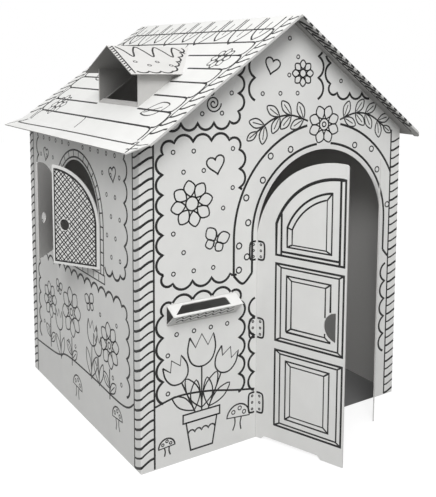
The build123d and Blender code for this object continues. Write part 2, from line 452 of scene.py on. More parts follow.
class Motif(Enum):
    """The drawings that are printed more than once."""

    DAISY = "daisy"
    TULIP = "tulip"
    LEAF = "leaf"
    HEART = "heart"
    SWIRL = "swirl"
    BUTTERFLY = "butterfly"
    MUSHROOM = "mushroom"
    DOT = "dot"
    BERRY = "berry"
    RIVET = "rivet"
    ROPE = "rope"
    RAKE_ROPE = "rake_rope"
    HEM_ROPE = "hem_rope"
    PLATE_TICK = "plate_tick"
    BRICK_JOINT = "brick_joint"
    SHINGLE = "shingle"

    def strokes(self) -> list[Stroke]:
        """Gives the motif's lines, round its own origin, in millimetres.

        Returns:
            Its lines.
        """
        makers: dict[Motif, Callable[[], list[Stroke]]] = {
            Motif.DAISY: daisy,
            Motif.TULIP: tulip,
            Motif.LEAF: leaf,
            Motif.HEART: heart,
            Motif.SWIRL: swirl,
            Motif.BUTTERFLY: butterfly,
            Motif.MUSHROOM: mushroom,
            Motif.DOT: lambda: ring(5.4, 3.2),
            Motif.BERRY: lambda: ring(8.6, 4.0),
            Motif.RIVET: lambda: ring(2.8, 2.8),
            Motif.ROPE: rope_stroke,
            Motif.RAKE_ROPE: rake_stroke,
            Motif.HEM_ROPE: hem_stroke,
            Motif.PLATE_TICK: lambda: bar(6.0, 5.0, 4.0),
            Motif.BRICK_JOINT: lambda: bar(9.0, 0.0, 4.0),
            Motif.SHINGLE: shingle,
        }
        return makers[self]()


class FlatFace:
    """Flat printed face: u runs across it from left to right as seen from outside, v runs up."""

    def __init__(self, origin: Sequence[float], across: Sequence[float], up: Sequence[float]) -> None:
        """Places the face.

        Args:
            origin: Where u and v are 0, in millimetres.
            across: Direction of u.
            up: Direction of v, square to it.
        """
        self.origin = Vector(origin)
        self.across = Vector(across).normalized()
        self.up = Vector(up).normalized()
        self.normal = self.across.cross(self.up)

    def at(self, u: float, v: float, height: float) -> Vector:
        """Place on the face, in metres, at a height above it."""
        return (self.origin + self.across * u + self.up * v + self.normal * height) * MM


@dataclass(frozen=True)
class FoldedCorner:
    """Upright fold between two walls: u is 0 in the middle of the fold, v runs up.

    turn is the angle of the left wall's outward direction, in degrees. The print is lifted a little
    over the fold, up to reach on each side of its middle, so that it clears the facets of the board.
    """

    turn: float
    radius: float = 4.0
    lift: float = 0.4
    reach: float = 6.0

    def at(self, u: float, v: float, height: float) -> Vector:
        """Place on the folded board, in metres, at a height above it.

        Args:
            u: Distance from the middle of the fold.
            v: Height over the floor.
            height: Height above the board.

        Returns:
            The place, in metres.
        """
        half_fold = self.radius * math.pi / 4
        bent = max(-half_fold, min(half_fold, u))
        lift = self.lift * max(0.0, 1 - abs(u) / self.reach)
        diagonal = math.radians(self.turn + 45)
        angle = diagonal + bent / self.radius
        outward = Vector((math.cos(angle), math.sin(angle), 0.0))
        along = Vector((-outward.y, outward.x, 0.0))
        middle = Vector(
            (
                math.copysign(HALF_WIDTH - self.radius, math.cos(diagonal)),
                math.copysign(HALF_DEPTH - self.radius, math.sin(diagonal)),
                v,
            )
        )
        return (middle + outward * (self.radius + height + lift) + along * (u - bent)) * MM


def ink_tree(stamped: bool) -> bpy.types.GeometryNodeTree:
    """Builds the node tree that turns drawn lines into a film of ink.

    Args:
        stamped: Whether the drawing is a cloud of points that each take a motif, and not lines.

    Returns:
        The tree, with the inputs Drawing, Ink, Film share and, if stamped, Motif.
    """
    tree = bpy.data.node_groups.new("ink_stamps" if stamped else "ink_lines", "GeometryNodeTree")
    sockets = {"Drawing": "Geometry", "Ink": "Material", "Film share": "Float", "Motif": "Object"}
    for name, kind in sockets.items():
        if stamped or name != "Motif":
            tree.interface.new_socket(name=name, in_out="INPUT", socket_type=f"NodeSocket{kind}")
    tree.interface.new_socket(name="Print", in_out="OUTPUT", socket_type="NodeSocketGeometry")
    given = add_node(tree, "NodeGroupInput")
    # The drawing's own measures: each line's width, and each stamp's turn and size
    measures = {
        name: add_node(
            tree, "GeometryNodeInputNamedAttribute", {"data_type": "FLOAT"}, {"Name": name}
        ).outputs[0]
        for name in (("line_width", "turn", "size") if stamped else ("line_width",))
    }
    lines = given.outputs["Drawing"]
    if stamped:
        motif = add_node(tree, "GeometryNodeObjectInfo", inputs={"Object": given.outputs["Motif"]})
        about = {"Axis": (0.0, 0.0, 1.0), "Angle": measures["turn"]}
        rotation = add_node(tree, "FunctionNodeAxisAngleToRotation", inputs=about)
        stamps = add_node(
            tree,
            "GeometryNodeInstanceOnPoints",
            inputs={
                "Points": lines,
                "Instance": motif.outputs["Geometry"],
                "Rotation": rotation.outputs[0],
                "Scale": measures["size"],
            },
        )
        placed = add_node(tree, "GeometryNodeRealizeInstances", inputs={0: stamps.outputs[0]})
        lines = placed.outputs[0]
    curves = add_node(tree, "GeometryNodeMeshToCurve", inputs={0: lines})
    level = add_node(tree, "GeometryNodeSetCurveNormal", {"mode": "Z_UP"}, {0: curves.outputs[0]})
    section = add_node(
        tree,
        "GeometryNodeCurvePrimitiveQuadrilateral",
        inputs={"Width": 1.0, "Height": given.outputs["Film share"]},
    )
    film = add_node(
        tree,
        "GeometryNodeCurveToMesh",
        inputs={
            "Curve": level.outputs[0],
            "Profile Curve": section.outputs[0],
            "Scale": measures["line_width"],
            "Fill Caps": True,
        },
    )
    whole = add_node(tree, "GeometryNodeRealizeInstances", inputs={0: film.outputs[0]})
    inked = add_node(
        tree,
        "GeometryNodeSetMaterial",
        inputs={"Geometry": whole.outputs[0], "Material": given.outputs["Ink"]},
    )
    add_node(tree, "NodeGroupOutput", inputs={0: inked.outputs[0]})
    return tree


def lines_mesh(name: str, strokes: Sequence[Stroke]) -> bpy.types.Mesh:
    """Makes a mesh of loose lines, with each line's width as an attribute.

    Args:
        name: The mesh's name.
        strokes: The lines.

    Returns:
        The mesh, in millimetres, each line raised by its share of its width.
    """
    points: list[tuple[float, float, float]] = []
    edges: list[tuple[int, int]] = []
    widths: list[float] = []
    for stroke in strokes:
        first, count = len(points), len(stroke.points)
        points += [(u, v, stroke.width * INK_RISE) for u, v in stroke.points]
        widths += [stroke.width] * count
        edges += [(first + i, first + i + 1) for i in range(count - 1)]
        if stroke.closed:
            edges.append((first + count - 1, first))
    mesh = bpy.data.meshes.new(name)
    mesh.from_pydata(points, edges, [])
    mesh.attributes.new("line_width", "FLOAT", "POINT").data.foreach_set("value", widths)
    return mesh


@dataclass(frozen=True)
class Stamp:
    """One place of a repeated motif: where it goes, its turn in degrees and its size."""

    place: Point
    turn: float = 0.0
    size: float = 1.0


@dataclass
class Drawing:
    """Everything printed on one face of the board, in millimetres on that face."""

    name: str
    body: str
    slot: str
    face: FlatFace | FoldedCorner
    keep: Keep = lambda point: True
    flipped: bool = False
    strokes: list[Stroke] = field(default_factory=list)
    stamps: dict[Motif, list[Stamp]] = field(default_factory=dict)

    def line(self, points: Sequence[Point], width: float, closed: bool = False) -> None:
        """Draws a line where the board is.

        Args:
            points: Its points.
            width: Its width.
            closed: Whether it returns to its first point.
        """
        whole = list(points) + ([points[0]] if closed else [])
        runs = kept_runs(whole, self.keep)
        if len(runs) == 1 and len(runs[0]) == len(whole) and closed:
            self.strokes.append(Stroke(tuple(points), width, True))
        else:
            self.strokes += [Stroke(tuple(run), width) for run in runs]

    def stamp(self, motif: Motif, *stamps: Stamp, reach: float = 0.0) -> None:
        """Puts a motif at each place, if the board reaches so far round it.

        Args:
            motif: What is stamped.
            stamps: The places.
            reach: How far round a place there has to be board.
        """
        rim = [polar((0, 0), reach, 45.0 * i) for i in range(8)]
        fitting = [
            s for s in stamps if all(self.keep((s.place[0] + x, s.place[1] + y)) for x, y in rim)
        ]
        self.stamps.setdefault(motif, []).extend(fitting)

    def build(self, press: "Press") -> bpy.types.Object:
        """Prints the drawing.

        Args:
            press: The press, with its ink and node trees.

        Returns:
            The print as one piece that rides on its body.
        """
        whole = bmesh.new()
        if self.strokes:
            whole.from_mesh(press.inked(lines_mesh(self.name, self.strokes), None))
        for motif, stamps in self.stamps.items():
            if not stamps:
                continue
            cloud = bpy.data.meshes.new(self.name)
            cloud.from_pydata([(*s.place, 0.0) for s in stamps], [], [])
            turns = cloud.attributes.new("turn", "FLOAT", "POINT")
            turns.data.foreach_set("value", [math.radians(s.turn) for s in stamps])
            sizes = cloud.attributes.new("size", "FLOAT", "POINT")
            sizes.data.foreach_set("value", [s.size for s in stamps])
            whole.from_mesh(press.inked(cloud, motif))
        side = -1.0 if self.flipped else 1.0
        for corner in whole.verts:
            u, v, height = corner.co
            corner.co = self.face.at(side * u, v, height)
        if self.flipped:
            bmesh.ops.reverse_faces(whole, faces=whole.faces)
        mesh = bpy.data.meshes.new(self.name)
        whole.to_mesh(mesh)
        whole.free()
        mesh.materials.append(press.ink)
        piece = bpy.data.objects.new(self.name, mesh)
        bpy.context.scene.collection.objects.link(piece)
        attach(piece, self.body)
        log.info("%s printed, %d faces, on %s", self.name, len(mesh.polygons), self.body)
        return piece


@dataclass
class Press:
    """The ink, the two node trees and the motifs' lines, made once for all drawings."""

    ink: bpy.types.Material
    film_share: float = 0.04

    def __post_init__(self) -> None:
        """Builds both node trees."""
        self.trees = {stamped: ink_tree(stamped) for stamped in (False, True)}
        self.motifs: dict[Motif, bpy.types.Object] = {}

    def motif(self, motif: Motif) -> bpy.types.Object:
        """Gives the object that holds a motif's lines.

        Args:
            motif: The motif.

        Returns:
            An object that no scene holds.
        """
        if motif not in self.motifs:
            name = f"motif_{motif.value}"
            mesh = lines_mesh(name, motif.strokes())
            self.motifs[motif] = bpy.data.objects.new(name, mesh)
        return self.motifs[motif]

    def inked(self, drawing: bpy.types.Mesh, motif: Motif | None) -> bpy.types.Mesh:
        """Runs a drawing through its node tree.

        Args:
            drawing: Lines, or points that each take the motif.
            motif: The motif, or None for lines.

        Returns:
            The film of ink as a plain mesh.
        """
        sheet = bpy.data.objects.new(drawing.name, drawing)
        bpy.context.scene.collection.objects.link(sheet)
        nodes = sheet.modifiers.new("ink", "NODES")
        nodes.node_group = self.trees[motif is not None]
        values = {"Ink": self.ink, "Film share": self.film_share}
        if motif is not None:
            values["Motif"] = self.motif(motif)
        for item in nodes.node_group.interface.items_tree:
            if item.in_out == "INPUT" and item.name in values:
                nodes[item.identifier] = values[item.name]
        graph = bpy.context.evaluated_depsgraph_get()
        film = bpy.data.meshes.new_from_object(sheet.evaluated_get(graph))
        sheet.modifiers.remove(nodes)
        bpy.data.objects.remove(sheet)
        return film

    def clear(self) -> None:
        """Removes the motifs' objects once everything is printed."""
        for holder in self.motifs.values():
            bpy.data.objects.remove(holder)
        self.motifs.clear()


class Side(Enum):
    """Which face of a folded sheet carries the white liner."""

    WALLS = "outside of a box of walls"
    CHEEKS = "outside of a box of walls, and the upper side"
    ROOF = "upper side, and the hems folded under it"
    FACE = "the outward direction only"


@dataclass(frozen=True)
class BoardFinish:
    """White-lined corrugated board: a clay-coated liner outside, a grey one inside, flutes between.

    The coated liner is smooth and nearly matt, with the flutes just showing as faint bands. The
    grey inside liner is uncoated and a little speckled. Lengths are in millimetres.
    """

    name: str
    side: Side
    outward: tuple[float, float, float] = (0.0, 0.0, 1.0)
    half: Point = (HALF_WIDTH, HALF_DEPTH)
    middle: float = 0.0
    skin: float = 1.2
    facing: float = 0.4
    flutes: tuple[float, float, float] = (1.0, 1.0, 0.0)
    flute_pitch: float = 6.6
    flute_relief: float = 0.4
    flute_show: float = 0.12
    liner: str = "#EDEDEB"
    liner_shade: str = "#E3E3E1"
    inside: str = "#D6D5D3"
    inside_shade: str = "#C7C6C4"
    mottle: float = 60.0
    mottle_lift: float = 3.0
    speckles_per_metre: float = 420.0
    roughness: tuple[float, float] = (0.62, 0.78)
    refraction: float = 1.5
    gloss: float = 0.3

    def box_tests(self, tree: bpy.types.NodeTree, place: bpy.types.Node) -> list[bpy.types.Node]:
        """Tests for the outside of a box of walls: one along X and one along Y.

        Args:
            tree: The material's node tree.
            place: The object coordinates, split.

        Returns:
            Two nodes that give 1 outside.
        """
        tests = []
        for axis, middle, half in ((0, 0.0, self.half[0]), (1, self.middle, self.half[1])):
            shift = {0: place.outputs[axis], 1: -middle * MM}
            shifted = add_node(tree, "ShaderNodeMath", {"operation": "ADD"}, shift)
            away = {0: shifted.outputs[0]}
            out = add_node(tree, "ShaderNodeMath", {"operation": "ABSOLUTE"}, away)
            past = {0: out.outputs[0], 1: (half - self.skin) * MM}
            tests.append(add_node(tree, "ShaderNodeMath", {"operation": "GREATER_THAN"}, past))
        return tests

    def hem_test(self, tree: bpy.types.NodeTree, place: bpy.types.Node) -> bpy.types.Node:
        """Test for the white face of the hems that are folded under the rakes.

        Args:
            tree: The material's node tree.
            place: The object coordinates, split.

        Returns:
            A node that gives the white liner's share on the hems, held down as painted shade, and 0
            elsewhere.
        """
        out = add_node(tree, "ShaderNodeMath", {"operation": "ABSOLUTE"}, {0: place.outputs[0]})
        shift = {0: place.outputs[1], 1: -HEM_MIDDLE * MM}
        shifted = add_node(tree, "ShaderNodeMath", {"operation": "ADD"}, shift)
        along = add_node(tree, "ShaderNodeMath", {"operation": "ABSOLUTE"}, {0: shifted.outputs[0]})
        taper = {0: out.outputs[0], 1: -HEM_TAPER, 2: along.outputs[0]}
        slanted = add_node(tree, "ShaderNodeMath", {"operation": "MULTIPLY_ADD"}, taper)
        past = {0: slanted.outputs[0], 1: HEM_EDGE * MM}
        hem = add_node(tree, "ShaderNodeMath", {"operation": "GREATER_THAN"}, past)
        # The hems take only part of the white liner: painted shade under the rakes
        share = {0: hem.outputs[0], 1: HEM_WHITE_IN_PAINTED_SHADE}
        return add_node(tree, "ShaderNodeMath", {"operation": "MULTIPLY"}, share)

    def outside_mask(
        self, tree: bpy.types.NodeTree, coordinates: bpy.types.Node
    ) -> bpy.types.NodeSocket:
        """Gives 1 on the white face of the sheet, a smaller share on the hems as painted shade, and 0
        elsewhere.

        Args:
            tree: The material's node tree.
            coordinates: The texture coordinates.

        Returns:
            The mask.
        """
        place = add_node(tree, "ShaderNodeSeparateXYZ", inputs={0: coordinates.outputs["Object"]})
        tests = []
        if self.side in (Side.WALLS, Side.CHEEKS):
            tests += self.box_tests(tree, place)
        if self.side is Side.ROOF:
            tests.append(self.hem_test(tree, place))
        if self.side is not Side.WALLS:
            pair = {0: coordinates.outputs["Normal"], 1: self.outward}
            facing = add_node(tree, "ShaderNodeVectorMath", {"operation": "DOT_PRODUCT"}, pair)
            test = {0: facing.outputs["Value"], 1: self.facing}
            tests.append(add_node(tree, "ShaderNodeMath", {"operation": "GREATER_THAN"}, test))
        mask = tests[0].outputs[0]
        for other in tests[1:]:
            both = {0: mask, 1: other.outputs[0]}
            mask = add_node(tree, "ShaderNodeMath", {"operation": "MAXIMUM"}, both).outputs[0]
        return mask

    def flute_height(
        self, tree: bpy.types.NodeTree, place: bpy.types.NodeSocket, mottle: bpy.types.Node
    ) -> bpy.types.Node:
        """Height of the liner, where the flutes press through as bands one flute apart.

        Args:
            tree: The material's node tree.
            place: The object coordinates.
            mottle: The coating's slow unevenness.

        Returns:
            A node that gives the height.
        """
        along = {0: place, 1: self.flutes}
        run = add_node(tree, "ShaderNodeVectorMath", {"operation": "DOT_PRODUCT"}, along)
        turns = {0: run.outputs["Value"], 1: math.tau * 1000 / self.flute_pitch}
        phase = add_node(tree, "ShaderNodeMath", {"operation": "MULTIPLY"}, turns)
        wave = add_node(tree, "ShaderNodeMath", {"operation": "SINE"}, {0: phase.outputs[0]})
        both = {0: mottle.outputs[0], 1: self.mottle_lift, 2: wave.outputs[0]}
        return add_node(tree, "ShaderNodeMath", {"operation": "MULTIPLY_ADD"}, both)

    def material(self) -> bpy.types.Material:
        """Builds the board's material.

        Returns:
            The material.
        """
        made = bpy.data.materials.new(self.name)
        made.use_nodes = True
        tree = made.node_tree
        shader = tree.nodes["Principled BSDF"]
        coordinates = add_node(tree, "ShaderNodeTexCoord")
        place = coordinates.outputs["Object"]
        white = self.outside_mask(tree, coordinates)
        # Slow unevenness of the coating, and the speckle of grey stock
        coating = {"Vector": place, "Scale": 1000 / self.mottle, "Detail": 3.0}
        mottle = add_node(tree, "ShaderNodeTexNoise", inputs=coating)
        stock = {"Vector": place, "Scale": self.speckles_per_metre, "Detail": 2.0}
        speckle = add_node(tree, "ShaderNodeTexNoise", inputs=stock)
        tones = (
            (mottle.outputs[0], linear(self.liner), linear(self.liner_shade)),
            (speckle.outputs[0], linear(self.inside), linear(self.inside_shade)),
        )
        outer, inner = (
            add_node(tree, "ShaderNodeMix", {"data_type": "RGBA"}, dict(zip((0, 6, 7), tone)))
            for tone in tones
        )
        faces = {0: white, 6: inner.outputs[2], 7: outer.outputs[2]}
        colour = add_node(tree, "ShaderNodeMix", {"data_type": "RGBA"}, faces)
        tree.links.new(colour.outputs[2], shader.inputs["Base Color"])
        relief = {
            "Strength": self.flute_show,
            "Distance": self.flute_relief * MM,
            "Height": self.flute_height(tree, place, mottle).outputs[0],
        }
        bump = add_node(tree, "ShaderNodeBump", inputs=relief)
        tree.links.new(bump.outputs[0], shader.inputs["Normal"])
        smoothest, roughest = self.roughness
        uneven = {0: speckle.outputs[0], 3: smoothest, 4: roughest}
        rough = add_node(tree, "ShaderNodeMapRange", inputs=uneven)
        tree.links.new(rough.outputs[0], shader.inputs["Roughness"])
        shader.inputs["IOR"].default_value = self.refraction
        shader.inputs["Specular IOR Level"].default_value = self.gloss
        return made


@dataclass(frozen=True)
class Lamp:
    """One soft square lamp: its place and its side in metres, its power in watts."""

    name: str
    place: tuple[float, float, float]
    side: float
    power: float

    def build(self, aim: Vector) -> None:
        """Makes the lamp, facing the point that it is aimed at.

        Args:
            aim: The point, in metres.
        """
        data = bpy.data.lights.new(self.name, "AREA")
        data.size, data.energy = self.side, self.power
        lamp = bpy.data.objects.new(self.name, data)
        lamp.location = self.place
        lamp.rotation_euler = (aim - Vector(self.place)).to_track_quat("-Z", "Y").to_euler()
        bpy.context.scene.collection.objects.link(lamp)


@dataclass
class Studio:
    """Plain pale floor, soft lights and the camera, none of them part of the object.

    Lengths are in millimetres, apart from the clip range, the aim and the lamps, in metres. The
    camera's focal length and principal point are in the photograph's own pixels.
    """

    camera_place: tuple[float, float, float] = (-1253.5, -2123.9, 1063.6)
    yaw: float = 35.77
    pitch: float = 6.44
    roll: float = 0.75
    focal_pixels: float = 753.2
    principal: Point = (276.9, 149.55)
    picture: Point = (436.0, 497.0)
    sensor: float = 36.0
    clip: Point = (0.05, 60.0)
    floor_size: float = 16000.0
    floor_colour: str = "#868686"
    floor_roughness: float = 0.9
    floor_gloss: float = 0.1
    floor_glow: float = 0.84
    shade_run: float = 3.0
    backdrop: str = "#FFFFFF"
    world_strength: float = 0.58
    aim: tuple[float, float, float] = (0.0, 0.0, 0.6)
    lamps: tuple[Lamp, ...] = (
        Lamp("key_light", (-2.0, -3.7, 4.0), 2.2, 160.0),
        Lamp("top_light", (-1.4, -0.6, 4.6), 3.0, 26.0),
    )

    def camera(self) -> None:
        """Makes the camera at the photograph's place and angle."""
        yaw, pitch, roll = (math.radians(a) for a in (self.yaw, self.pitch, self.roll))
        forward = Vector(
            (math.sin(yaw) * math.cos(pitch), math.cos(yaw) * math.cos(pitch), -math.sin(pitch))
        )
        level = Vector((math.cos(yaw), -math.sin(yaw), 0.0))
        upright = level.cross(forward)
        right = math.cos(roll) * level + math.sin(roll) * upright
        up = math.cos(roll) * upright - math.sin(roll) * level
        data = bpy.data.cameras.new("camera")
        long_side = max(self.picture)
        data.sensor_width = self.sensor
        data.lens = self.focal_pixels / long_side * self.sensor
        data.shift_x = -(self.principal[0] - self.picture[0] / 2) / long_side
        data.shift_y = (self.principal[1] - self.picture[1] / 2) / long_side
        data.clip_start, data.clip_end = self.clip
        camera = bpy.data.objects.new("camera", data)
        turn = Matrix((right, up, -forward)).transposed().to_4x4()
        camera.matrix_world = Matrix.Translation(Vector(self.camera_place) * MM) @ turn
        bpy.context.scene.collection.objects.link(camera)
        bpy.context.scene.camera = camera

    def seen(self, tree: bpy.types.NodeTree) -> bpy.types.NodeSocket:
        """Gives 1 where the camera looks, directly or in a reflection, and 0 for lighting.

        Args:
            tree: The node tree of the floor or the world.

        Returns:
            The 1 or 0.
        """
        path = add_node(tree, "ShaderNodeLightPath")
        seen = path.outputs["Is Camera Ray"]
        for other in ("Is Glossy Ray", "Is Transmission Ray"):
            either = {0: seen, 1: path.outputs[other]}
            seen = add_node(tree, "ShaderNodeMath", {"operation": "MAXIMUM"}, either).outputs[0]
        return seen

    def beyond_walls(self, tree: bpy.types.NodeTree) -> bpy.types.NodeSocket:
        """Gives 0 on the floor inside the four walls, which stays in the house's own shade.

        Args:
            tree: The floor's node tree.

        Returns:
            The 1 or 0, with a short run between.
        """
        place = add_node(tree, "ShaderNodeTexCoord").outputs["Object"]
        split = add_node(tree, "ShaderNodeSeparateXYZ", inputs={0: place})
        beyond = []
        for axis, half_side in ((0, HALF_WIDTH), (1, HALF_DEPTH)):
            out = {0: split.outputs[axis]}
            away = add_node(tree, "ShaderNodeMath", {"operation": "ABSOLUTE"}, out)
            start = (half_side - self.shade_run) * MM
            limits = {0: away.outputs[0], 1: start, 2: half_side * MM, 3: 0.0, 4: 1.0}
            beyond.append(add_node(tree, "ShaderNodeMapRange", inputs=limits).outputs[0])
        either = dict(enumerate(beyond))
        return add_node(tree, "ShaderNodeMath", {"operation": "MAXIMUM"}, either).outputs[0]

    def floor(self) -> None:
        """Makes the pale floor, which looks white to the camera but keeps the house's shadow."""
        half = self.floor_size / 2 * MM
        corners = [(-half, -half, 0), (half, -half, 0), (half, half, 0), (-half, half, 0)]
        mesh = bpy.data.meshes.new("studio_floor")
        mesh.from_pydata(corners, [], [(0, 1, 2, 3)])
        floor = bpy.data.objects.new("studio_floor", mesh)
        bpy.context.scene.collection.objects.link(floor)
        paint = bpy.data.materials.new("matt_floor_paint")
        paint.use_nodes = True
        tree = paint.node_tree
        shader = tree.nodes["Principled BSDF"]
        shader.inputs["Base Color"].default_value = linear(self.floor_colour)
        shader.inputs["Roughness"].default_value = self.floor_roughness
        shader.inputs["Specular IOR Level"].default_value = self.floor_gloss
        strength: bpy.types.NodeSocket | float = self.floor_glow
        for share in (self.seen(tree), self.beyond_walls(tree)):
            part = {0: share, 1: strength}
            strength = add_node(tree, "ShaderNodeMath", {"operation": "MULTIPLY"}, part).outputs[0]
        glow = add_node(tree, "ShaderNodeEmission", inputs={1: strength})
        lit = {0: shader.outputs[0], 1: glow.outputs[0]}
        both = add_node(tree, "ShaderNodeAddShader", inputs=lit)
        tree.links.new(both.outputs[0], tree.nodes["Material Output"].inputs["Surface"])
        mesh.materials.append(paint)

    def world(self) -> None:
        """Lights the room evenly and shows white behind the house."""
        world = bpy.data.worlds.new("studio")
        bpy.context.scene.world = world
        world.use_nodes = True
        tree = world.node_tree
        background = tree.nodes["Background"]
        background.inputs[0].default_value = linear(self.backdrop)
        levels = {0: self.seen(tree), 3: self.world_strength, 4: 1.0}
        strength = add_node(tree, "ShaderNodeMapRange", inputs=levels)
        tree.links.new(strength.outputs[0], background.inputs[1])

    def build(self) -> None:
        """Sets up the whole studio."""
        self.camera()
        self.floor()
        self.world()
        for lamp in self.lamps:
            lamp.build(Vector(self.aim))
        bpy.context.scene.view_settings.view_transform = "Standard"


@dataclass(frozen=True)
class InkFinish:
    """Flexo-printed black ink: a thin matt film, a little uneven where the liner shows through."""

    name: str = "flexo_black_ink"
    full: str = "#161616"
    thin: str = "#303030"
    mottle: float = 9.0
    roughness: float = 0.6
    refraction: float = 1.5
    gloss: float = 0.3

    def material(self) -> bpy.types.Material:
        """Builds the ink's material.

        Returns:
            The material.
        """
        made = bpy.data.materials.new(self.name)
        made.use_nodes = True
        tree = made.node_tree
        shader = tree.nodes["Principled BSDF"]
        place = add_node(tree, "ShaderNodeTexCoord").outputs["Object"]
        spread = {"Vector": place, "Scale": 1000 / self.mottle, "Detail": 2.0}
        patches = add_node(tree, "ShaderNodeTexNoise", inputs=spread)
        tones = {0: patches.outputs[0], 6: linear(self.full), 7: linear(self.thin)}
        colour = add_node(tree, "ShaderNodeMix", {"data_type": "RGBA"}, tones)
        tree.links.new(colour.outputs[2], shader.inputs["Base Color"])
        shader.inputs["Roughness"].default_value = self.roughness
        shader.inputs["IOR"].default_value = self.refraction
        shader.inputs["Specular IOR Level"].default_value = self.gloss
        return made


def dots(
    area: tuple[float, float, float, float],
    pitch: Point,
    clear: Sequence[tuple[Point, float]] = (),
) -> list[Stamp]:
    """Lays small dots in staggered rows.

    Args:
        area: Left, bottom, right and top of the rows.
        pitch: Distance between dots in a row, and between rows.
        clear: Centres and radii of circles that stay empty.

    Returns:
        A stamp for each dot.
    """
    left, bottom, right, top = area
    places = []
    for row in range(int((top - bottom) / pitch[1]) + 1):
        start = left + (pitch[0] / 2 if row % 2 else 0)
        for column in range(int((right - start) / pitch[0]) + 1):
            place = (start + column * pitch[0], bottom + row * pitch[1])
            if all(math.dist(place, centre) > radius for centre, radius in clear):
                places.append(Stamp(place))
    return places


def in_arch(point: Point, opening: tuple[float, float, float], margin: float) -> bool:
    """Whether a point is under an arch or within a margin of it, however low it is.

    Args:
        point: The point.
        opening: Middle, spring height and radius of the arch.
        margin: The margin.

    Returns:
        True if it is.
    """
    centre, spring, radius = opening
    if point[1] < spring:
        return abs(point[0] - centre) < radius + margin
    return math.dist(point, (centre, spring)) < radius + margin


def hinge_plates(drawing: Drawing, places: tuple[float, float, float, float]) -> None:
    """Draws the halves of the hinge plates on one side of a crease.

    Args:
        drawing: The wall's or the leaf's drawing.
        places: Where the root, the shoulder, the far side and the rivets are, on u.
    """
    root, shoulder, far, middle = places
    line, corner, rivets = 5.4, 8, 3
    for low, high in HINGE_PLATES:
        foot = [(root, low), (shoulder, low), (far, low + corner)]
        head = [(far, high - corner), (shoulder, high), (root, high)]
        drawing.line(smooth(foot + head, 3), line)
        heights = [low + (high - low) * (i + 0.5) / rivets for i in range(rivets)]
        drawing.stamp(Motif.RIVET, *(Stamp((middle, height)) for height in heights))


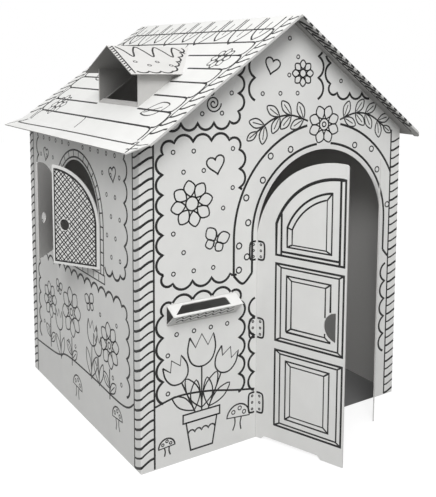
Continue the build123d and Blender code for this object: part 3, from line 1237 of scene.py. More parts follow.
@dataclass
class WallPrints:
    """Print on the four walls and round their corners."""

    body: str = "house"
    slot: str = "wall_board"
    pitch: float = 54.0
    rise: float = 20.0
    border: float = 6.8
    ground: float = 5.4
    stem_line: float = 5.4
    spray_line: float = 5.2
    eye_line: float = 4.0
    band_line: float = 7.0
    brick_line: float = 5.2
    pot_line: float = 6.2
    trim_line: float = 4.4
    rope_half: float = 38.0
    rope_pitch: float = 26.5
    rope_line: float = 5.2
    rope_foot: float = 18.0
    edge: float = 2.5
    crease_gap: float = 4.8
    dot_run: float = 60.0
    letterbox: tuple[float, float, float, float] = (-378.0, 380.0, -159.0, 443.0)
    pot_place: tuple[float, float, float, float] = (-330.0, 20.0, -210.0, 112.0)
    rosette: Point = (139.0, 892.0)
    rosette_reach: float = 62.0
    band_edges: Point = (17.0, 77.0)
    band_foot: float = 486.0
    band_tip: float = 26.0
    band_sway: float = 13.0
    ring_edges: Point = (8.0, 29.0)
    ring_sill: float = 30.0
    sill_edge: float = 6.0

    def drawing(self, name: str, face: FlatFace | FoldedCorner, keep: Keep) -> Drawing:
        """Starts a drawing on the walls."""
        return Drawing(name, self.body, self.slot, face, keep)

    def scallops(self, drawing: Drawing, *panels: Sequence[Point], closed: bool = False) -> None:
        """Draws the scalloped border of each panel, given by its corners."""
        for corners in panels:
            drawing.line(scalloped(corners, self.pitch, self.rise, closed), self.border, closed)

    def eye(self, drawing: Drawing, place: Point, size: float = 1.0) -> None:
        """Draws the small circle in the middle of a flower."""
        drawing.line(circle(place, 7 * size, 4), self.eye_line, True)

    def under_gable(self, point: Point) -> bool:
        """Whether a point of the front or back wall is on the board, apart from its openings.

        Args:
            point: A place on the face.

        Returns:
            True if it can be printed.
        """
        x, z = point
        inner = HALF_WIDTH - self.rope_half
        return abs(x) < inner and self.edge < z < APEX_HEIGHT - abs(x) * SLOPE - self.edge

    def on_front(self, point: Point) -> bool:
        """Whether a point of the front wall is on the board.

        Args:
            point: A place on the face.

        Returns:
            True if it can be printed.
        """
        left, bottom, right, top = self.letterbox
        in_letterbox = left < point[0] < right and bottom < point[1] < top
        open_here = in_letterbox or in_arch(point, DOORWAY, self.crease_gap)
        return self.under_gable(point) and not open_here

    def on_side(self, point: Point) -> bool:
        """Whether a point of the right wall is on the board."""
        inner = HALF_DEPTH - self.rope_half
        return abs(point[0]) < inner and self.edge < point[1] < EAVE_HEIGHT - self.edge

    def on_left(self, point: Point) -> bool:
        """Whether a point of the left wall is on the board.

        Args:
            point: A place on the face.

        Returns:
            True if it can be printed.
        """
        above_sill = point[1] > WINDOW_SILL - self.edge
        open_here = above_sill and in_arch(point, WINDOW, self.crease_gap)
        return self.on_side(point) and not open_here

    def corner(self, name: str, turn: float) -> Drawing:
        """Draws the rope round one corner.

        Args:
            name: The piece's name.
            turn: Angle of the left wall's outward direction, in degrees.

        Returns:
            The drawing.
        """
        top = EAVE_HEIGHT - self.edge
        drawing = self.drawing(name, FoldedCorner(turn), lambda point: self.edge < point[1] < top)
        for side in (-self.rope_half, self.rope_half):
            drawing.line([(side, 0.0), (side, EAVE_HEIGHT)], self.rope_line)
        count = int((top - 40) / (2 * self.rope_pitch)) + 1
        places = [(0.0, self.rope_foot + 2 * self.rope_pitch * i) for i in range(count)]
        drawing.stamp(Motif.ROPE, *map(Stamp, places))
        return drawing

    def front(self) -> Drawing:
        """Draws the front wall: panels, the arch band, the rosette and the garden below.

        Returns:
            The drawing.
        """
        face = FlatFace((0, -HALF_DEPTH, 0), (1, 0, 0), (0, 0, 1))
        drawing = self.drawing("front_wall_print", face, self.on_front)
        centre, spring, radius = DOORWAY

        def beside_door(point: Point) -> bool:
            """Whether a point is clear of the arch band and the rosette.

            Args:
                point: A place on the face.

            Returns:
                True if it can be printed.
            """
            if point[1] < self.band_foot - 14:
                return self.on_front(point)
            away = math.dist(point, (centre, spring))
            clear_of_band = away > radius + self.band_edges[1] + 6
            clear_of_rosette = math.dist(point, self.rosette) > self.rosette_reach + 4
            return self.on_front(point) and clear_of_band and clear_of_rosette

        drawing.keep = beside_door
        self.scallops(
            drawing,
            [(-160, 1130), (-160, 938), (-186, 912), (-430, 912)],
            [(-105, 966), (-105, 1150)],
            [(113, 1150), (113, 966)],
            [(430, 984), (186, 984), (160, 1010), (160, 1130)],
        )
        beside_door_panel = [(-384, 522), (-384, 834), (-352, 861), (-187, 861)]
        beside_door_panel += [(-155, 834), (-155, 522), (-182, 495), (-357, 495)]
        self.scallops(drawing, beside_door_panel, closed=True)
        self.scallops(
            drawing,
            [(-385, 176), (-385, 414), (-358, 441), (-179, 441), (-152, 414), (-152, 150)],
            [(-99, 143), (-99, 413)],
            [(401, 150), (401, 440)],
        )
        flowers = [((-300, 700), 78), ((-232, 590), 58), ((-225, 800), 40)]
        gable_flowers = [((58, 1040), 46), ((-50, 1060), 42)]
        for area, row, clear in (
            ((-355, 520, -175, 850), 53, flowers),
            ((-330, 934, -180, 1090), 53, []),
            ((-80, 984, 90, 1180), 51, gable_flowers),
            ((200, 1018, 400, 1100), 51, []),
        ):
            drawing.stamp(Motif.DOT, *dots(area, (self.dot_run, row), clear), reach=7)
        drawing.stamp(Motif.DAISY, Stamp((-300, 700), 10, 1.25), Stamp((58, 1040), 0, 0.75))
        drawing.stamp(Motif.BUTTERFLY, Stamp((-228, 590), -20, 1.15))
        drawing.stamp(Motif.HEART, Stamp((-228, 800), 12, 1.1), Stamp((-48, 1062), -15, 1.0))
        drawing.stamp(Motif.SWIRL, Stamp((-236, 960), 0, 0.8))
        self.arch_band(drawing)
        self.garland(drawing)
        self.front_garden(drawing)
        crease = centre - radius
        hinge_plates(drawing, (crease, crease - 17, crease - 24, crease - 12))
        return drawing

    def arch_band(self, drawing: Drawing) -> None:
        """Draws the dotted band that follows the doorway's arch down to a rounded end.

        Args:
            drawing: The front wall's drawing.
        """
        centre, spring, opening = DOORWAY
        inner, outer = (opening + edge for edge in self.band_edges)
        middle, foot, sway = (inner + outer) / 2, self.band_foot, self.band_sway
        drawing.keep = lambda point: (
            self.on_front(point) and math.dist(point, self.rosette) > self.rosette_reach
        )
        for radius in (inner, outer):
            over = arc((centre, spring), radius, 180, 0)
            path = [(centre - radius, foot), *over, (centre + radius, foot)]
            drawing.line(path, self.band_line)
        for side in (-1, 1):
            tip = (centre + side * middle, foot - self.band_tip)
            ends = [(centre + side * outer, foot), tip, (centre + side * inner, foot)]
            drawing.line(smooth(ends, 6), self.band_line)
        arched = [
            polar((centre, spring), middle + (sway if i % 2 else -sway), 9.0 + 13.5 * i)
            for i in range(13)
        ]
        straight = [
            (centre - middle + (sway if i % 2 else -sway), spring - 20 - 34 * i) for i in range(3)
        ]
        drawing.stamp(Motif.BERRY, *map(Stamp, arched + straight), reach=10)

    def garland(self, drawing: Drawing) -> None:
        """Draws the rosette over the doorway and a leafy spray on each side of it.

        Args:
            drawing: The front wall's drawing.
        """
        drawing.keep = self.on_front
        drawing.stamp(Motif.DAISY, Stamp(self.rosette, 22.5, 1.14))
        self.eye(drawing, self.rosette)
        across, up = self.rosette
        for side in (-1, 1):
            knots = ((60, 12), (120, 30), (180, 22), (236, -12))
            stem = smooth([(across + side * reach, up + lift) for reach, lift in knots])
            drawing.line(stem, self.spray_line)
            leaves = []
            for share in (0.1, 0.34, 0.58, 0.82):
                index = round(share * (len(stem) - 1))
                here, ahead = stem[index], stem[min(index + 1, len(stem) - 1)]
                heading = math.degrees(math.atan2(ahead[1] - here[1], ahead[0] - here[0]))
                leaves += [Stamp(here, heading + lean, 1.05) for lean in (48, -48)]
            leaves.append(Stamp(stem[-1], heading, 0.8))
            drawing.stamp(Motif.LEAF, *leaves)

    def front_garden(self, drawing: Drawing) -> None:
        """Draws the flower pot, its tulips and the ground line under the letterbox.

        Args:
            drawing: The front wall's drawing.
        """
        left, bottom, right, top = self.pot_place
        drawing.keep = lambda point: self.on_front(point) and not (
            left < point[0] < right and bottom < point[1] < top
        )
        hill = smooth([(-411, 172), (-340, 186), (-250, 178), (-160, 158), (-94, 146)])
        drawing.line(hill, self.ground)
        drawing.keep = self.on_front
        pot = [(-318, 104), (-304, 24), (-236, 24), (-222, 104)]
        rim = [(-327, 104), (-327, 128), (-213, 128), (-213, 104)]
        for outline in (pot, rim):
            drawing.line(outline, self.pot_line, True)
        drawing.line(scalloped([(-312, 72), (-228, 72)], 21, 9), self.trim_line)
        tulips = (Stamp((-270, 128), 0, 2.15), Stamp((-290, 128), 24, 1.75))
        drawing.stamp(Motif.TULIP, *tulips, Stamp((-250, 128), -24, 1.75))
        drawing.stamp(Motif.MUSHROOM, Stamp((-156, 40), -6, 1.25), Stamp((-374, 30), 4, 0.8))
        drawing.stamp(Motif.DOT, *dots((-372, 200, -170, 360), (52, 52), [((-270, 250), 92)]))

    def left(self) -> Drawing:
        """Draws the left wall: panels, the brick ring round the window and a row of flowers.

        Returns:
            The drawing.
        """
        face = FlatFace((-HALF_WIDTH, 0, 0), (0, -1, 0), (0, 0, 1))
        drawing = self.drawing("left_wall_print", face, self.on_left)
        centre, spring, radius = WINDOW
        inner, outer = (radius + edge for edge in self.ring_edges)
        sill_low, sill_high = WINDOW_SILL - self.ring_sill, WINDOW_SILL - self.sill_edge
        drawing.keep = lambda point: self.on_left(point) and (
            math.dist(point, (centre, spring)) > outer + 5
            if point[1] > spring
            else abs(point[0]) > outer + 5 or point[1] < sill_low - 8
        )
        self.scallops(
            drawing,
            [(50, 843), (306, 843), (333, 816), (333, 530), (306, 503), (204, 503)],
            [(-204, 503), (-306, 503), (-333, 530), (-333, 816), (-306, 843), (-50, 843)],
            [(-340, 140), (-340, 392), (-313, 419), (313, 419), (340, 392), (340, 178)],
        )
        hill = [(-385, 112), (-197, 124), (-100, 148), (100, 150), (316, 146), (386, 177)]
        drawing.line(smooth(hill), self.ground)
        drawing.stamp(Motif.DOT, *dots((-310, 540, 310, 820), (56, 56)), reach=12)
        drawing.stamp(Motif.HEART, Stamp((262, 770), 10, 0.9), Stamp((-262, 770), -10, 0.9))
        drawing.keep = self.on_left
        for reach in (inner, outer):
            over = arc((centre, spring), reach, 180, 0)
            path = [(centre - reach, sill_high), *over, (centre + reach, sill_high)]
            drawing.line(path, self.brick_line)
        sill = box(-outer - self.sill_edge, sill_low, outer + self.sill_edge, sill_high)
        drawing.line(sill, self.brick_line, True)
        middle = (inner + outer) / 2
        joints = [Stamp(polar((centre, spring), middle, a), a) for a in range(0, 181, 12)]
        joints += [
            Stamp((side * middle, spring - drop)) for side in (-1, 1) for drop in (36, 72, 108)
        ]
        joints += [Stamp((u, (sill_low + sill_high) / 2), 90) for u in range(-160, 161, 40)]
        drawing.stamp(Motif.BRICK_JOINT, *joints)
        self.left_garden(drawing)
        return drawing

    def left_garden(self, drawing: Drawing) -> None:
        """Draws the tall flowers under the window.

        Args:
            drawing: The left wall's drawing.
        """
        for u, height, size in ((-250, 290, 1.2), (-60, 300, 1.55), (228, 285, 1.3)):
            drawing.line([(u, 130), (u, height - 50 * size - 2)], self.stem_line)
            drawing.stamp(Motif.DAISY, Stamp((u, height), 10, size))
            self.eye(drawing, (u, height), size)
            drawing.stamp(Motif.LEAF, Stamp((u, 150), 40, 1.1), Stamp((u, 162), 140, 1.1))
        tulips = (Stamp((-155, 120), 6, 1.6), Stamp((95, 142), -4, 1.8), Stamp((155, 142), 5, 1.5))
        drawing.stamp(Motif.TULIP, *tulips)
        drawing.stamp(Motif.BUTTERFLY, Stamp((90, 368), 15, 1.0), Stamp((-165, 350), -12, 0.8))
        drawing.stamp(Motif.MUSHROOM, Stamp((280, 60), 5, 1.1), Stamp((-20, 40), -4, 1.2))
        clear = [((-250, 290), 84), ((-60, 300), 100), ((228, 285), 84), ((90, 368), 48)]
        clear += [((-165, 350), 40), ((-155, 200), 62), ((95, 230), 78), ((155, 230), 66)]
        drawing.stamp(Motif.DOT, *dots((-310, 200, 310, 400), (56, 52), clear))

    def right(self) -> Drawing:
        """Draws the right wall plainly: one scalloped panel with dots over a ground line.

        Returns:
            The drawing.
        """
        face = FlatFace((HALF_WIDTH, 0, 0), (0, 1, 0), (0, 0, 1))
        drawing = self.drawing("right_wall_print", face, self.on_side)
        self.plain_panel(drawing, 340.0)
        return drawing

    def back(self) -> Drawing:
        """Draws the back wall plainly: panels on the gable and below it over a ground line.

        Returns:
            The drawing.
        """
        face = FlatFace((0, HALF_DEPTH, 0), (-1, 0, 0), (0, 0, 1))
        drawing = self.drawing("back_wall_print", face, self.under_gable)
        self.scallops(drawing, [(430, 912), (-430, 912)])
        drawing.stamp(Motif.DOT, *dots((-330, 940, 330, 1170), (self.dot_run, 53)), reach=9)
        self.plain_panel(drawing, 365.0)
        return drawing

    def plain_panel(self, drawing: Drawing, half: float) -> None:
        """Draws one large panel with dots and a few flowers.

        Args:
            drawing: The wall's drawing.
            half: Half of the panel's width.
        """
        cut = half - 27
        left_side, right_side = [(-half, 176), (-half, 815), (-cut, 842)], [(cut, 842), (half, 815)]
        self.scallops(drawing, [*left_side, *right_side, (half, 176)])
        hill = [(-412, 170), (-200, 150), (0, 168), (200, 152), (412, 174)]
        drawing.line(smooth(hill), self.ground)
        places = [(-half * 0.6, 420.0), (half * 0.55, 560.0), (0.0, 660.0)]
        drawing.stamp(Motif.DAISY, *(Stamp(place, 10, 1.2) for place in places))
        tulips = [(-half * 0.72, 1.7), (-half * 0.2, 1.5), (half * 0.3, 1.9), (half * 0.78, 1.6)]
        drawing.stamp(Motif.TULIP, *(Stamp((u, 150), 0, size) for u, size in tulips))
        clear = [(place, 78.0) for place in places]
        rows = dots((30 - half, 360, half - 30, 820), (self.dot_run, 53), clear)
        drawing.stamp(Motif.DOT, *rows)

    def drawings(self) -> list[Drawing]:
        """Gives every drawing on the walls.

        Returns:
            The drawings of four walls and four corners.
        """
        turns = {"front_left": 180.0, "front_right": 270.0, "back_right": 0.0, "back_left": 90.0}
        corners = [self.corner(f"{name}_rope_print", turn) for name, turn in turns.items()]
        return [self.front(), self.left(), self.back(), self.right(), *corners]


@dataclass
class RoofPrints:
    """Print on the main roof: planks, rope along the rakes and tiles under the ridge."""

    body: str = "house"
    slot: str = "roof_board"
    front_rake: float = 493.0
    rear_rake: float = 488.0
    rope_eave: float = 61.0
    rope_ridge: float = 33.0
    rope_pitch: float = 33.0
    row: float = 62.6
    first_row: float = 67.0
    rows: int = 8
    line: float = 6.2
    joint_line: float = 4.4
    rope_line: float = 4.6
    strip_line: float = 5.6
    left_run: float = 555.0
    right_run: float = 586.0
    corner_out: float = 454.0
    corner_in: float = 22.0
    corner_radius: float = 18.0
    strip_fold: Point = (-451.4, 870.7)
    strip_rise: float = 16.6
    hem_top: float = 1192.4
    hem_ridge: float = 53.0
    hem_eave: float = 32.0
    hem_length: float = 590.0
    hem_runs: Point = (548.0, 562.0)
    hem_band: float = 0.72
    hem_pitch: float = 27.0
    rim_line: float = 14.0
    tile_pitch: float = 98.0
    edge: float = 2.0

    def between_rakes(self, y: float) -> bool:
        """Whether a place on Y is on the roof, short of its edges."""
        return -self.front_rake + self.edge < y < self.rear_rake - self.edge

    def rope_width(self, v: float) -> float:
        """Width of the rope along the rake at a height v on the slope."""
        return self.rope_ridge + (self.rope_eave - self.rope_ridge) * min(1.0, -v / self.left_run)

    def planks(self, drawing: Drawing, front: float, rear: float) -> None:
        """Draws one slope's rows of planks with their rounded ends.

        Args:
            drawing: The slope's drawing, with v from the ridge down as a negative height.
            front: Where u ends at the front rake.
            rear: Where u ends at the rear rake, on the other side of 0.
        """
        ahead = math.copysign(1, front)
        ends = ((front, ahead), (rear, -ahead))
        for index in range(self.rows):
            high = -self.first_row - self.row * index
            low = high - self.row
            reach = 14 if index % 2 else 3
            tips = [end - way * (self.rope_width(low) + reach) for end, way in ends]
            drawing.line([(tips[0] - ahead * 22, high), (tips[1] + ahead * 22, high)], self.line)
            for tip, (_, way) in zip(tips, ends):
                knots = ((30, high), (8, high - 5), (0, (low + high) / 2), (6, low + 6), (26, low))
                drawing.line(smooth([(tip - way * back, v) for back, v in knots], 4), self.line)
            joint = rear + ahead * (240 + 260 * ((index * 0.618) % 1) + 150 * (index % 3))
            if index % 3 == 1:
                bend = [(joint - 12, high), (joint, high - 12), (joint, low + 12), (joint - 12, low)]
                drawing.line(smooth(bend, 3), self.joint_line)

    def rope(self, drawing: Drawing, edge: float, run: float) -> None:
        """Draws the rope along one rake, its edge given as a place on u.

        Args:
            drawing: The slope's drawing.
            edge: Where u ends at the rake.
            run: Length of the slope.
        """
        way = math.copysign(1, edge)
        line = [(edge - way * self.rope_width(v), v) for v in (-run + 2, -8.0)]
        drawing.line(line, self.rope_line)
        stamps = []
        for index in range(int(run / self.rope_pitch)):
            v = -18 - self.rope_pitch * index
            width = self.rope_width(v)
            stamps.append(Stamp((edge - way * width / 2, v), 0, (width - 5) / 60))
        drawing.stamp(Motif.RAKE_ROPE, *stamps)

    def cover(self, drawing: Drawing, front: float, rear: float, run: float) -> None:
        """Draws what both slopes have: planks, two ropes and the leaf-shaped tiles at the ridge.

        Args:
            drawing: The slope's drawing.
            front: Where u ends at the front rake.
            rear: Where u ends at the rear rake.
            run: Length of the slope.
        """
        self.planks(drawing, front, rear)
        for edge in (front, rear):
            self.rope(drawing, edge, run)
        places = [(self.tile_pitch * (i - 4), -9) for i in range(9)]
        tiles = [Stamp(place, 0, 1.0 if i % 2 else 0.86) for i, place in enumerate(places)]
        drawing.stamp(Motif.SHINGLE, *tiles)

    def left(self) -> Drawing:
        """Draws the left slope, round the dormer.

        Returns:
            The drawing.
        """

        def on_slope(point: Point) -> bool:
            """Whether a point is on the slope and clear of the dormer.

            Args:
                point: A place on the face.

            Returns:
                True if it can be printed.
            """
            x, y = point[1] * SLOPE_COSINE, -point[0]
            if not (-449 < x < -5 and self.between_rakes(y)):
                return False
            beside = abs(y - DORMER_MIDDLE)
            under_cheeks = -358 < x < -214 and beside < 141
            under_valleys = -214 <= x < -118 and beside < 164 * (-118 - x) / 96
            return not under_cheeks and not under_valleys

        face = FlatFace((0, 0, RIDGE_TOP), (0, -1, 0), (SLOPE_COSINE, 0, SLOPE_SINE))
        drawing = Drawing("left_slope_print", self.body, self.slot, face, on_slope)
        self.cover(drawing, self.front_rake, -self.rear_rake, self.left_run)
        drawing.stamp(Motif.DAISY, Stamp((-330, -470), 5, 1.0), Stamp((345, -205), 0, 0.9))
        drawing.stamp(Motif.LEAF, Stamp((270, -460), 24, 2.2), Stamp((-250, -330), 150, 1.6))
        return drawing

    def strip(self) -> Drawing:
        """Draws the strip along the left eaves: the last plank's edge and the rope's end.

        Returns:
            The drawing.
        """
        rise = math.radians(self.strip_rise)
        origin = (self.strip_fold[0], 0, self.strip_fold[1])
        face = FlatFace(origin, (0, -1, 0), (math.cos(rise), 0, math.sin(rise)))
        front, rear = self.front_rake, -self.rear_rake

        def on_strip(point: Point) -> bool:
            """Whether a point is on the strip, clear of its edges."""
            return -66 < point[1] < -1.5 and rear + 16 < point[0] < front - 3

        drawing = Drawing("eave_strip_print", self.body, self.slot, face, on_strip)
        inner, rear_inner = front - self.rope_eave, rear + self.rope_eave
        edge = [(inner - 4, -1), (inner - 8, -14), (inner - 30, -20), (0, -24)]
        edge += [(rear_inner + 26, -34), (rear_inner + 6, -22), (rear_inner + 3, -1)]
        drawing.line(smooth(edge, 4), self.line)
        drawing.line([(inner, 0), (front - 8, -65)], self.rope_line)
        drawing.line([(rear_inner, 0), (rear + 20, -60)], self.rope_line)
        for lift in (-12, -40):
            turn = [(inner + 20, lift - 6), (inner + 34, lift - 5), (front - 5, lift + 8)]
            drawing.line(smooth(turn, 4), self.strip_line)
        return drawing

    def right(self) -> Drawing:
        """Draws the right slope.

        Returns:
            The drawing.
        """
        face = FlatFace((0, 0, RIDGE_TOP), (0, 1, 0), (-SLOPE_COSINE, 0, SLOPE_SINE))

        def on_slope(point: Point) -> bool:
            """Whether a point is on the slope, inside its rounded corners.

            Args:
                point: A place on the face.

            Returns:
                True if it can be printed.
            """
            v, y = -point[1], point[0]
            if not (6 < v < self.right_run - self.edge and self.between_rakes(y)):
                return False
            out = v * SLOPE_COSINE - self.corner_out
            beyond = max(-y - self.front_rake + self.corner_in, y - self.rear_rake + self.corner_in)
            return out < 0 or beyond < 0 or math.hypot(out, beyond) < self.corner_radius

        drawing = Drawing("right_slope_print", self.body, self.slot, face, on_slope)
        self.cover(drawing, -self.front_rake, self.rear_rake, self.right_run)
        drawing.stamp(Motif.DAISY, Stamp((-260, -300), 5, 1.0), Stamp((240, -420), 0, 1.0))
        drawing.stamp(Motif.LEAF, Stamp((60, -260), 20, 1.6))
        return drawing

    def hem(self, name: str, side: int) -> Drawing:
        """Draws the rope on the two hems under one slope.

        Args:
            name: The piece's name.
            side: -1 for the left slope, 1 for the right.

        Returns:
            The drawing, with u from the middle of the house and v from the ridge down.
        """
        up = (-side * SLOPE_COSINE, 0, SLOPE_SINE)
        face = FlatFace((0, 0, self.hem_top), (0, -side, 0), up)
        run = self.hem_runs[side > 0]

        def width(v: float) -> float:
            """Width of the hem at a height v on the slope."""
            return self.hem_ridge - (self.hem_ridge - self.hem_eave) * -v / self.hem_length

        def on_hem(point: Point) -> bool:
            """Whether a point is on a hem, clear of its edges.

            Args:
                point: A place on the face.

            Returns:
                True if it can be printed.
            """
            u, v = point
            outer = self.front_rake if u * side > 0 else self.rear_rake
            return -run < v < -9 and outer - width(v) + 1 < abs(u) < outer - self.edge

        drawing = Drawing(name, self.body, self.slot, face, on_hem)
        for rake in (self.front_rake * side, -self.rear_rake * side):
            way = math.copysign(1, rake)
            inner = [(rake - way * width(v) * self.hem_band, v) for v in (-run, -9)]
            drawing.line(inner, self.rope_line)
            stamps = []
            for index in range(int((run - 40) / self.hem_pitch)):
                v = -34 - self.hem_pitch * index
                band = width(v) * self.hem_band - 4
                place = (rake - way * (band / 2 + 2), v)
                stamps.append(Stamp(place, 0 if way > 0 else 180, band / 30))
            drawing.stamp(Motif.HEM_ROPE, *stamps)
        return drawing

    def rim(self) -> Drawing:
        """Draws the rope's turns where they go round the front edge of the right slope.

        Returns:
            The drawing.
        """
        origin = (0, -self.front_rake, RIDGE_TOP)
        face = FlatFace(origin, (SLOPE_COSINE, 0, -SLOPE_SINE), (SLOPE_SINE, 0, SLOPE_COSINE))
        drawing = Drawing("right_rim_print", self.body, self.slot, face)
        low, high = -(RIDGE_TOP - self.hem_top) * SLOPE_COSINE + 0.2, -0.2
        for index in range(int((self.right_run - 30) / self.hem_pitch)):
            u = 14 + self.hem_pitch * index
            drawing.line([(u, low), (u, high)], self.rim_line)
        return drawing

    def drawings(self) -> list[Drawing]:
        """Gives every drawing on the main roof."""
        hems = [self.hem("left_hem_print", -1), self.hem("right_hem_print", 1)]
        return [self.left(), self.strip(), self.right(), self.rim(), *hems]


@dataclass
class DormerPrints:
    """Print on the dormer's roof: a scalloped edge, a wavy trim and dots."""

    body: str = "house"
    slot: str = "roof_board"
    front: float = -385.0
    half: float = 161.5
    drop: float = 78.0
    top: float = 1111.7
    line: float = 5.4
    trim_line: float = 4.0
    tick_pitch: float = 13.0
    wave_pitch: float = 15.5
    dot_pitch: float = 34.0

    def slope(self, name: str, side: int) -> Drawing:
        """Draws one slope of the dormer's roof.

        Args:
            name: The piece's name.
            side: -1 for the slope towards the front of the house, 1 for the other.

        Returns:
            The drawing, with u from the dormer's open end and v from its ridge down.
        """
        run = math.hypot(self.half, self.drop)
        sine = self.drop / run
        sign = -side
        face = FlatFace((0, DORMER_MIDDLE, self.top), (sign, 0, 0), (0, sign * self.half / run, sine))

        def valley(height: float) -> float:
            """Place on X where the dormer's roof meets the main one, at a height."""
            return (height - RIDGE_TOP) / SLOPE

        def on_slope(point: Point) -> bool:
            """Whether a point is on the slope, short of the main roof."""
            short_of_roof = valley(self.top + point[1] * sine) - 6
            return self.front + 2 < point[0] * sign < short_of_roof and -run + 3 < point[1] < -3

        drawing = Drawing(name, self.body, self.slot, face, on_slope)
        low = -run + 17
        path = [(valley(self.top) - 28, -8), (valley(self.top - self.drop) - 24, low)]
        path = [(sign * x, v) for x, v in [*path, (self.front + 24, low)]]
        drawing.line(scalloped(path[::sign], 34, 11), self.line)
        trim = sign * (self.front + 14)
        drawing.line([(trim, -4), (trim, -run + 4)], self.trim_line)
        tick = sign * (self.front + 7.5)
        ticks = [(tick, -12 - self.tick_pitch * i) for i in range(int(run / self.tick_pitch) - 1)]
        drawing.stamp(Motif.PLATE_TICK, *map(Stamp, ticks))
        waves = [
            (sign * (self.front + 22 + self.wave_pitch * i), -7 - (0, 26, 64, 22)[i % 4])
            for i in range(15)
        ]
        drawing.line(smooth(waves, 5), self.line)
        rings = [
            (sign * (self.front + 44 + self.dot_pitch * i), -104 - (22 if i % 2 else 0))
            for i in range(6)
        ]
        drawing.stamp(Motif.DOT, *map(Stamp, rings), reach=14)
        return drawing

    def drawings(self) -> list[Drawing]:
        """Gives both drawings on the dormer's roof."""
        return [self.slope("dormer_front_slope_print", -1), self.slope("dormer_rear_slope_print", 1)]


def leaf_face(hinge: Point, reach: Point, flipped: bool) -> FlatFace:
    """Gives the printed face of an upright leaf at rest.

    Args:
        hinge: The hinge line's place, on X and Y.
        reach: Direction from the hinge to the leaf's free side.
        flipped: Whether the hinge is on the right as seen from outside.

    Returns:
        The face, with u from the hinge on, or running back to it if flipped.
    """
    across = [-part if flipped else part for part in reach]
    return FlatFace((*hinge, 0), (*across, 0), (0, 0, 1))


@dataclass
class DoorPrints:
    """Print on one leaf of the doorway: three moulded panels and the halves of its hinge plates."""

    name: str
    body: str
    hinge: Point
    reach: Point
    width: float
    flipped: bool
    slot: str = "leaf_board"
    top: float = 812.0
    arched_from: float = 250.0
    arch_centre: Point = (265.0, 559.4)
    outer_line: float = 8.0
    frame_line: float = 6.2
    inner_line: float = 6.0
    core_line: float = 4.8
    mitre_line: float = 4.4
    pull_height: float = 81.0
    pull_centre: float = 378.0
    pull_back: float = 30.0
    pull_depth: float = 38.0

    def on_leaf(self, point: Point) -> bool:
        """Whether a point is on the leaf, clear of its hand hole.

        Args:
            point: A place on the face.

        Returns:
            True if it can be printed.
        """
        u, z = point
        pull = self.width - self.pull_back
        across = (pull - u) / self.pull_depth
        above = (z - self.pull_centre) / (self.pull_height / 2 + 3)
        in_bow = pull - self.pull_depth - 1 < u < pull + 3 and across**2 + above**2 < 1
        at_string = pull - 2 < u < pull + 3 and abs(above) < 1
        return 1 < u < self.width - 2 and 2 < z < self.top and not in_bow and not at_string

    def panel(
        self,
        drawing: Drawing,
        sides: tuple[float, float, float, float],
        line: float,
        radius: float = 0.0,
    ) -> None:
        """Draws one outline of a panel, with an arched head if it has a radius.

        Args:
            drawing: The leaf's drawing.
            sides: Left, bottom, right and top.
            line: The line's width.
            radius: Radius of the head round the arch's centre, or 0 for a square head.
        """
        left, bottom, right, top = sides
        if not radius:
            drawing.line(box(left, bottom, right, top), line, True)
            return
        centre = self.arch_centre
        start = math.degrees(math.acos((left - centre[0]) / radius))
        end = math.degrees(math.acos((right - centre[0]) / radius))
        head = arc(centre, radius, start, end)
        drawing.line([(left, bottom), *head, (right, bottom)], line, True)

    def arched_panel(
        self, drawing: Drawing, outer: Point, frame: Point, inner: Point, core: Point
    ) -> None:
        """Draws the upper panel of the wide leaf, its head following the leaf's arch.

        Args:
            drawing: The leaf's drawing.
            outer: Left and right of the panel's outermost line.
            frame: Left and right of the line inside it.
            inner: Left and right of the raised field.
            core: Left and right of the field's flat middle.
        """
        heads = (
            (outer, 546, 772, 8.4, 213.0),
            (inner, 572, 735, self.inner_line, 177.0),
            (core, 580, 715, self.core_line, 160.7),
        )
        for (left, right), bottom, top, line, radius in heads:
            self.panel(drawing, (left, bottom, right, top), line, radius)
        for u, top in zip(frame, (663.0, 771.0)):
            drawing.line([(u, 548), (u, top)], 6.4)
        drawing.line([(frame[0], 557), (frame[1], 557)], self.inner_line)
        for side, low, high in ((0, 572, 580), (1, 572, 580), (1, 735, 715), (0, 626, 622)):
            drawing.line([(inner[side], low), (core[side], high)], self.mitre_line)

    def drawing(self) -> Drawing:
        """Draws the whole leaf.

        Returns:
            The drawing.
        """
        face = leaf_face(self.hinge, self.reach, self.flipped)
        drawing = Drawing(self.name, self.body, self.slot, face, self.on_leaf, self.flipped)
        share = (self.width - 10) / 278
        spans = ((65, 280), (82, 266), (101, 241), (117, 225))
        outer, frame_side, inner, core = [(a * share, b * share) for a, b in spans]
        if self.width > self.arched_from:
            self.arched_panel(drawing, outer, frame_side, inner, core)
        else:
            squares = (
                (outer, 546, 700, self.outer_line),
                (inner, 572, 672, self.inner_line),
                (core, 584, 660, self.core_line),
            )
            for (left, right), bottom, top, line in squares:
                self.panel(drawing, (left, bottom, right, top), line)
        for bottom, top, lift in ((304.0, 522.0, 30.0), (57.0, 277.0, 26.0)):
            steps = (
                (outer, 0.0, self.outer_line),
                (frame_side, 9.5, self.frame_line),
                (inner, lift, self.inner_line),
                (core, lift + 12, self.core_line),
            )
            for (left, right), inset, line in steps:
                self.panel(drawing, (left, bottom + inset, right, top - inset), line)
            for side in (0, 1):
                for low, high in ((bottom + lift, bottom + lift + 12), (top - lift, top - lift - 12)):
                    drawing.line([(inner[side], low), (core[side], high)], self.mitre_line)
                for low, high in ((bottom, bottom + 9), (top, top - 9)):
                    drawing.line([(outer[side], low), (frame_side[side], high)], self.mitre_line)
        hinge_plates(drawing, (3, 18, 25, 13))
        return drawing

    def drawings(self) -> list[Drawing]:
        """Gives the leaf's one drawing."""
        return [self.drawing()]


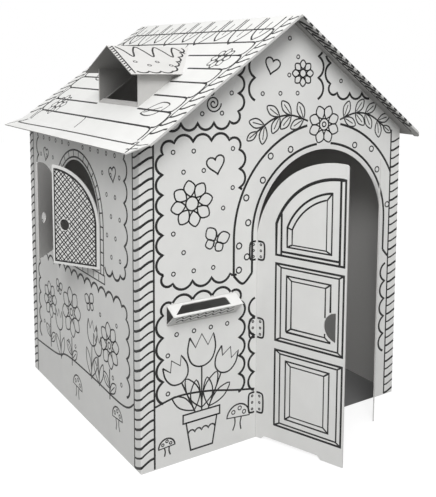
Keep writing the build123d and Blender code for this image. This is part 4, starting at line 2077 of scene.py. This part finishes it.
@dataclass
class ShutterPrints:
    """Print on one shutter of the window: a lattice inside a plain border."""

    name: str
    body: str
    hinge: Point
    reach: Point
    flipped: bool
    slot: str = "leaf_board"
    head_centre: Point = (167.0, 606.2)
    head_radius: float = 155.0
    field_sides: tuple[float, float, float] = (12.0, 495.0, 155.0)
    finger_hole: tuple[float, float, float] = (121.0, 602.0, 18.5)
    cell: float = 28.0
    cells: range = range(-12, 24)
    strand: float = 4.0 * 1.414
    strand_run: float = 300.0
    strand_line: float = 2.9
    border_line: float = 6.0

    def in_field(self, point: Point) -> bool:
        """Whether a point is inside the lattice's field and clear of the finger hole.

        Args:
            point: A place on the face.

        Returns:
            True if it can be printed.
        """
        u, z = point
        left, bottom, right = self.field_sides
        under_head = z < self.head_centre[1] or math.dist(point, self.head_centre) < self.head_radius
        clear = math.dist(point, self.finger_hole[:2]) > self.finger_hole[2]
        return left < u < right and z > bottom and under_head and clear

    def drawings(self) -> list[Drawing]:
        """Gives the shutter's drawing.

        Returns:
            One drawing.
        """
        face = leaf_face(self.hinge, self.reach, self.flipped)
        drawing = Drawing(self.name, self.body, self.slot, face, self.in_field, self.flipped)
        left, bottom, right = self.field_sides
        for index in self.cells:
            for offset in (-self.strand, self.strand):
                start = left + self.cell * index + offset
                for run in (self.strand_run, -self.strand_run):
                    end = (start + run, bottom + self.strand_run)
                    drawing.line([(start, bottom), end], self.strand_line)
        drawing.keep = lambda point: True
        end = math.degrees(math.acos((right - self.head_centre[0]) / self.head_radius))
        head = arc(self.head_centre, self.head_radius, 180, end, 5.0)
        drawing.line([(left, bottom), *head, (right, bottom)], self.border_line, True)
        return [drawing]


@dataclass
class LetterboxPrints:
    """Print on the letterbox: two wavy lines on its front panel."""

    body: str = "house"
    slot: str = "wall_board"
    left: float = -374.0
    width: float = 211.0
    depth: float = 52.0
    edge: float = 3.0
    tip: Point = (-465.0, 418.0)
    foot: Point = (-422.0, 383.0)
    wave: tuple[float, float, int] = (11.5, 5.5, 16)
    line: float = 4.2

    def on_panel(self, point: Point) -> bool:
        """Whether a point is on the front panel, clear of its edges."""
        across = self.edge < point[0] < self.width - self.edge
        return across and -self.depth < point[1] < -self.edge

    def drawings(self) -> list[Drawing]:
        """Gives the drawing on the front panel, with v from its folded edge down.

        Returns:
            One drawing.
        """
        up = (0, self.tip[0] - self.foot[0], self.tip[1] - self.foot[1])
        face = FlatFace((self.left, *self.tip), (1, 0, 0), up)
        drawing = Drawing("letterbox_print", self.body, self.slot, face, self.on_panel)
        step, swing, count = self.wave
        for height, start in ((-15.0, 14.0), (-36.0, 22.0)):
            wave = [(start + step * i, height + (swing if i % 2 else -swing)) for i in range(count)]
            drawing.line(smooth(wave, 4), self.line)
        return [drawing]


def dress_boards() -> None:
    """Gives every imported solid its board, its white face outwards as it stands at rest."""
    # Much darker inside liner on the dormer's body and roof: painted shade inside the dormer
    dormer_inside_painted_shade = {"inside": "#8B8A88", "inside_shade": "#7E7D7B"}
    # Darker inside liner on the roof sheet than on the walls: painted shade on the roof's underside
    roof_underside_painted_shade = {"inside": "#B4B3B1", "inside_shade": "#A5A4A2"}
    cheek_box_and_painted_shade = {"half": (354.0, 136.5), "middle": DORMER_MIDDLE}
    # Greyer outer liner on the dormer's cheeks: painted shade from the dormer roof above them
    cheek_box_and_painted_shade |= {"liner": "#C4C3C1", "liner_shade": "#BAB9B7"}
    # Greyer outer liner on the dormer's roof than on the main roof: painted shade
    dormer_roof_painted_shade = {"liner": "#DAD9D7", "liner_shade": "#D0CFCD"}
    outward = {
        "letterbox": (0.0, -1.0, 0.0),
        "door_left": (-0.9444, -0.3289, 0.0),
        "door_right": (0.7230, -0.6909, 0.0),
        "shutter_front": (-0.866, -0.5, 0.0),
        "shutter_rear": (-0.772, 0.636, 0.0),
    }
    names = {
        "door_left": "clay_coated_board_left_door",
        "door_right": "clay_coated_board_right_door",
        "shutter_front": "clay_coated_board_shutter",
        "shutter_rear": "clay_coated_board_rear_shutter",
        "letterbox": "clay_coated_corrugated_board_letterbox",
    }
    card = "clay_coated_corrugated_board_"
    finishes = {
        "walls": BoardFinish(card + "walls", Side.WALLS),
        "roof_sheet": BoardFinish(card + "roof", Side.ROOF, **roof_underside_painted_shade),
        "dormer_body": BoardFinish(card + "dormer", Side.CHEEKS, **cheek_box_and_painted_shade, **dormer_inside_painted_shade),
        "dormer_roof": BoardFinish(card + "dormer_roof", Side.FACE, **dormer_roof_painted_shade, **dormer_inside_painted_shade),
    }
    for node, direction in outward.items():
        finishes[node] = BoardFinish(names[node], Side.FACE, direction)
    for node, finish in finishes.items():
        board = finish.material()
        for place in frame["nodes"][node].material_slots:
            place.material = board
        log.info("%s has %s", node, finish.name)


def main() -> None:
    """Builds the studio and the house's finishes in order."""
    logging.basicConfig(level=logging.INFO, format="%(message)s")
    Studio().build()
    dress_boards()
    press = Press(InkFinish().material())
    doors = (
        ("left_door_print", "left_leaf", (-93.0, -425.0), (0.3289, -0.9444), 288.0, False),
        ("right_door_print", "right_leaf", (371.0, -425.0), (-0.6909, -0.7230), 170.0, True),
    )
    shutters = (
        ("front_shutter_print", "front_shutter", (-450.0, -167.0), (-0.5, 0.866), True),
        ("rear_shutter_print", "rear_shutter", (-450.0, 167.0), (-0.636, -0.772), False),
    )
    leaves = (*(DoorPrints(*door) for door in doors), *(ShutterPrints(*leaf) for leaf in shutters))
    for group in (WallPrints(), RoofPrints(), DormerPrints(), LetterboxPrints(), *leaves):
        for drawing in group.drawings():
            drawing.build(press)
    press.clear()


if __name__ == "__main__":
    main()
